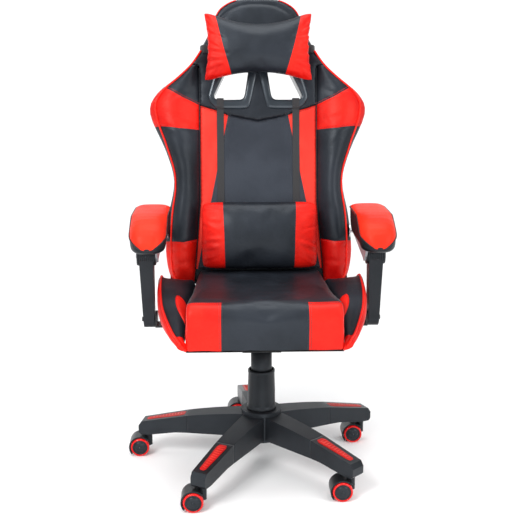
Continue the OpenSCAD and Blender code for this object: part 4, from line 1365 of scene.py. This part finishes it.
def insert_relief():
    """Raised lozenge pattern on the arms' inserts, in the insert's red with a painted highlight."""
    pieces = []
    slope = 47 * 0.58 / (332 - 206 + 6)
    for a in angles(5, BASE_TURN / 72):
        out = Vector((math.sin(a), -math.cos(a), 0))
        side = Vector((math.cos(a), math.sin(a), 0))
        for k in range(20):
            r = 218 + k * 4.3
            w = 9.6 - 0.27 * k
            lean = 3.0 if k % 2 else -3.0
            foot, crown = [], []
            for dx, dy in ((-0.8, -w), (0.8, -w), (0.8 + lean, w), (-0.8 + lean, w)):
                z = 96 + (332 - r - dx) * slope
                foot.append((out * (r + dx) + side * dy + Vector((0, 0, z - 0.5))) * MM)
                crown.append((out * (r + dx * 0.7 + lean * 0.1) + side * dy * 0.9
                              + Vector((0, 0, z + 1.0))) * MM)
            pieces.append(loft("raised bar", [foot, crown], [LIT_RIDGE]))
    obj = join(pieces, "insert relief")
    shade_smooth(obj.data, False)
    fit(obj, "base", "insert_red")


insert_relief()
for node, mat in (("gas_tube", STEEL_BLACK), ("column_bushing", ACETAL), ("thrust_bearing", STEEL),
                  ("gas_rod", STEEL), ("gas_cylinder", CHROME)):
    keep(node, mat)


def column_covers():
    """The sleeves round the gas column."""
    low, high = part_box("cover_lower")
    z0, z1, r0, r1 = low.z / MM, high.z / MM, high.x / MM, high.x / MM - 2
    wall = [(r0 + 1.5, z0 + 0.5), (r0 + 1.8, z0 + 3), (r0 + 1.0, z0 + 8), (r0 - 0.6, z0 + 10),
            (r0 - 0.9, z0 + 13), (r0 - 1.0, z0 + 50), (r1 - 0.5, z1 - 9), (r1 + 0.2, z1 - 7.5),
            (r1 + 0.4, z1 - 2), (r1 - 0.8, z1), (r1 - 3.4, z1), (r1 - 3.4, z1 - 4), (r0 - 4.0, z0 + 6),
            (r0 - 3.6, z0 + 0.5), (r0 + 1.5, z0 + 0.5)]
    fit(lathe("lower cover", wall, [NYLON], Matrix()), "base", "nylon_black", "cover_lower")
    low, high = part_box("cover_upper")
    z0, z1, r = low.z / MM, high.z / MM, high.x / MM
    wall = [(r - 0.8, z0), (r, z0 + 0.8), (r, z0 + 30), (r - 0.4, z0 + 30.8), (r - 0.4, z0 + 33),
            (r, z0 + 33.8), (r, z1 - 0.4), (r - 1.5, z1), (r - 1.5, z0), (r - 0.8, z0)]
    fit(lathe("upper cover", wall, [NYLON], Matrix()), "column", "nylon_black", "cover_upper")


column_covers()


def caster(i):
    """One caster: its hood, two discs with their treads, and the axle."""
    eased("caster_fork_%d" % i, "caster_%d" % i, "nylon_black", HOOD, 1.1, 3, 30)
    low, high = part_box("caster_wheels_%d" % i)
    centre = (low + high) / 2
    half = (high.y - low.y) / 2 / MM
    inner = half - 16
    wheels, treads = [], []
    for side in (1, -1):
        turn = Matrix.Translation(centre) @ Matrix.Rotation(-side * math.pi / 2, 4, "X")
        disc = [(0.0, inner), (19.6, inner), (20.0, inner + 0.5), (20.0, half - 1.2), (19.4, half - 0.4),
                (18.2, half + 0.2), (16.8, half), (16.2, half - 0.7), (15.4, half - 0.8),
                (14.8, half + 0.3), (12.0, half + 1.4), (8.0, half + 2.0), (5.6, half + 2.2),
                (5.0, half + 1.5), (4.2, half + 1.5), (3.6, half + 2.3), (0.0, half + 2.4)]
        wheels.append(lathe("wheel disc", disc, [WHEEL], turn))
        ring = [(20.05, inner + 0.4), (22.5, inner), (24.2, inner + 0.8), (24.9, inner + 3.2),
                (25.0, inner + 8), (24.9, half - 3.6), (24.3, half - 1.2), (23.0, half + 0.2),
                (21.4, half + 0.5), (20.3, half - 0.2), (20.05, half - 1.0), (20.05, inner + 0.4)]
        treads.append(lathe("tread ring", ring, [TREAD], turn))
    axle = Matrix.Translation(centre) @ Matrix.Rotation(math.pi / 2, 4, "X")
    wheels.append(lathe("axle", [(0.0, -inner), (3.9, -inner), (3.9, inner), (0.0, inner)], [STEEL], axle))
    fit(join(wheels, "wheels %d" % i), "wheels_%d" % i, "wheel_black", "caster_wheels_%d" % i)
    fit(join(treads, "treads %d" % i), "wheels_%d" % i, "tread_red", "caster_treads_%d" % i)


for i in range(1, 6):
    caster(i)


# ------------------------------------------------------------------ mechanism and levers
eased("mech_housing", "column", "steel_black", STEEL_BLACK, 1.5, 3)
eased("seat_plate", "seat", "steel_black", STEEL_BLACK, 0.8, 2)
eased("seat_frame", "seat", "steel_black", STEEL_BLACK, 1.5, 2)
eased("arm_mounts", "seat", "steel_black", STEEL_BLACK, 0.9, 2)
eased("hinge_plates", "seat", "steel_black", STEEL_BLACK, 0.8, 2)
eased("hinge_covers", "seat", "nylon_black", NYLON, 3.0, 4)
eased("recline_lever", "recline_lever", "nylon_black", NYLON, 2.0, 3)
eased("tension_knob", "tension_knob", "nylon_black", NYLON, 1.2, 3)
eased("tilt_axle", "column", "bright_steel", STEEL, 0.6, 2)
eased("seat_bolts", "seat", "spring_steel", SPRING, 0.5, 2)
keep("hinge_pins", STEEL)


def coil():
    """The tilt tension spring."""
    low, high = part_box("tension_spring")
    centre = (low + high) / 2
    r = (high.x - low.x) / 2 - 1.5 * MM
    y0, y1 = low.y + 1.5 * MM, high.y - 1.5 * MM
    turns = 6.5
    path = []
    for t in np.linspace(0, 1, int(turns * 28) + 1):
        a = math.tau * turns * t
        path.append((centre.x + r * math.cos(a), y0 + (y1 - y0) * t, centre.z + r * math.sin(a)))
    wire = sweep("tension coil", path, 1.45, [SPRING], up=Vector((0, 1, 0)))
    fit(wire, "column", "spring_steel", "tension_spring")


coil()


def lift_lever():
    """Cranked rod with a flat paddle at its end, on its pin."""
    low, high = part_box("lift_lever")
    z = high.z / MM - 4.5
    tip = low.x / MM
    path = [in_chair(x, 0, z - drop) for x, drop in ((2, 0), (-40, 0), (-66, 0), (-78, 3), (-90, 7.2),
                                                     (-100, 8.2), (-150, 8.2), (-168, 8.2))]
    rod = sweep("lever rod", path, 4.0, [NYLON], 16)
    grip = []
    for k in range(15):
        t = k / 14
        x = -160 + (tip + 160) * t
        w = 5 + 8 * math.sin(min(1, t * 2.2) * math.pi / 2) * (1 - 0.55 * max(0, (t - 0.72) / 0.28) ** 2)
        h = 4.0 - 0.8 * t
        if k == 14:
            w, h = 0.35 * w, 0.5 * h
        grip.append([in_chair(x, w * math.cos(a), z - 8.2 + h * math.sin(a) - 1.5 * t) for a in angles(20)])
    paddle = loft("lever paddle", grip, [NYLON])
    pin = lathe("lever pin", [(0, -14), (3, -14), (3, 14), (0, 14)], [STEEL],
                Matrix.Translation(in_chair(-48, 0, z)) @ Matrix.Rotation(math.pi / 2, 4, "X"))
    fit(join([rod, paddle, pin], "lift lever"), "lift_lever", "nylon_black", "lift_lever")


lift_lever()


# ------------------------------------------------------------------ armrests
PAD_PROFILE = [(85, 683), (40, 683.5), (-20, 683.5), (-65, 683), (-90, 681), (-115, 677), (-136, 669),
               (-152, 659), (-165, 644), (-172, 629), (-175, 616)]
PAD_UNDER = [(85, 594), (0, 593), (-75, 593), (-105, 595), (-130, 597), (-150, 599), (-165, 601),
             (-175, 606)]


def arm_pad(side):
    """Moulded pad, black below its cord and red above it, on its beam."""
    name = "arm_pad_" + NAME_OF[side]
    low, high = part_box(name)
    cx = (low.x + high.x) / 2 / MM
    half = (high.x - low.x) / 2 / MM
    top_line = np.array(sorted(PAD_PROFILE), float)
    low_line = np.array(sorted(PAD_UNDER), float)
    rings = []
    ys = [85 - 260 * (1 - (1 - t) ** 1.6) for t in np.linspace(0, 1, 60)]
    for y in ys:
        back, lead = float(dome((85 - y) / 26)), float(dome((y + 175) / 50))
        wide = half * min(back * 0.5 + 0.5, 0.16 + 0.84 * lead)
        zt = float(np.interp(y, top_line[:, 0], top_line[:, 1]))
        zb = float(np.interp(y, low_line[:, 0], low_line[:, 1]))
        zt -= 9 * (1 - float(dome((85 - y) / 14)))
        lower = 0.55 * share((-60 - y) / 80) ** 1.2
        piping = (zt - 10) * (1 - lower) + (zb + 5) * lower
        ring = []
        for k, a in enumerate(angles(28, 0.5)):
            c, s = math.cos(a), math.sin(a)
            px = wide * math.copysign(abs(c) ** 0.55, c)
            if s >= 0:
                pz = piping + (zt - piping) * s ** 0.75
                px *= 1 - 0.05 * s
            else:
                pz = piping + (zb - piping) * abs(s) ** 0.5
                px *= 0.97
            soft = 0.5 * uneven(y / 30, k * 0.5, side * 5.0)
            ring.append(in_chair(cx + px, y, pz + soft))
        rings.append(ring)
    obj = loft("pad " + name, rings, [PIPING_BLACK, PAD_RED],
               lambda i, j: int(j < 13 and 0 <= i < len(ys)))
    subdivide(obj)
    fit(obj, name, "moulded_pad_red", name)
    path = [r[0] for r in rings] + [r[13] for r in rings[::-1]]
    fit(sweep("pad piping " + name, path, 1.7, [PIPING_BLACK]), name, "moulded_pad_red")
    eased("arm_beam_" + NAME_OF[side], name, "bright_steel", BEAM, 0.7, 2)


def arm_post(side):
    """The post, narrowing downwards, and the ribs round its knuckle."""
    node = "arm_post_" + NAME_OF[side]
    post = eased(node, node, "nylon_black", NYLON, 3.0, 4)
    low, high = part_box(node)
    near = low.x if side > 0 else high.x
    knee = ARM_TOP.z - 0.028
    for vert in post.data.vertices:
        drop = max(0.0, (knee - vert.co.z) / (knee - low.z))
        vert.co.x = near + (vert.co.x - near) * (1 - 0.24 * drop)
    x0, x1, n = low.x / MM + 2, high.x / MM - 2, 9
    w = (x1 - x0) / n
    prof = [(23.0, x0)]
    for k in range(n):
        prof += [(r, x0 + (k + t) * w) for r, t in ((24.0, 0.10), (24.9, 0.25), (24.9, 0.70), (24.0, 0.85),
                                                   (23.4, 0.93))]
    prof += [(23.0, x1), (22.0, x1), (22.0, x0), (23.0, x0)]
    turn = Matrix.Translation(Vector((0, ARM_TOP.y, ARM_TOP.z))) @ Matrix.Rotation(math.pi / 2, 4, "Y")
    fit(lathe("knuckle ribs " + node, prof, [NYLON], turn), node, "nylon_black")


for side in (1, -1):
    arm_pad(side)
    arm_post(side)


# ------------------------------------------------------------------ stage, light and camera
def studio():
    """Pale backdrop, four lamps, the air and the camera."""
    f = Finish("pale floor", Roughness=0.55)
    f.colour(f.tint(f.grain(2.0, 2), (0.93, 0.93, 0.93), (0.97, 0.97, 0.97)))
    prof = [(-5.0, 0), (2.2, 0), (2.9, 0.12), (3.4, 0.5), (3.6, 1.1), (3.65, 4.6)]
    verts = [(x, y, z) for y, z in prof for x in (-6.0, 6.0)]
    faces = [(2 * i, 2 * i + 1, 2 * i + 3, 2 * i + 2) for i in range(len(prof) - 1)]
    mesh = bpy.data.meshes.new("backdrop")
    mesh.from_pydata(verts, [], faces)
    mesh.materials.append(f.mat)
    shade_smooth(mesh)
    obj = in_scene("backdrop", mesh)

    def lamp(name, at, size, power, aim=(0, 0, 0.6)):
        data = bpy.data.lights.new(name, "AREA")
        data.shape = "RECTANGLE"
        data.size, data.size_y = size
        data.energy = power
        light = in_scene(name, data)
        light.location = at
        light.rotation_euler = (Vector(aim) - Vector(at)).to_track_quat("-Z", "Y").to_euler()

    lamp("key", (-1.7, -2.3, 2.6), (1.2, 1.2), 74)
    lamp("fill", (2.2, -2.0, 1.8), (1.4, 1.8), 36)
    lamp("top", (0, -0.1, 3.2), (2.2, 1.6), 50)
    lamp("low front", (0, -3.2, 0.5), (2.0, 0.6), 12, (0, 0, 0.35))
    world = bpy.data.worlds.new("studio air")
    bpy.context.scene.world = world
    world.use_nodes = True
    air = world.node_tree.nodes["Background"].inputs
    air["Color"].default_value, air["Strength"].default_value = (0.98, 0.99, 1.0, 1), 0.72
    data = bpy.data.cameras.new("camera")
    data.lens, data.sensor_width, data.shift_x = 67.6, 36, -0.0076
    cam = in_scene("camera", data)
    cam.location = (-0.0842, -2.4124, 1.0891)
    cam.rotation_euler = (math.radians(90 - 12.47), 0, math.radians(-2))
    bpy.context.scene.camera = cam
    bpy.context.scene.view_settings.view_transform = "Standard"


studio()
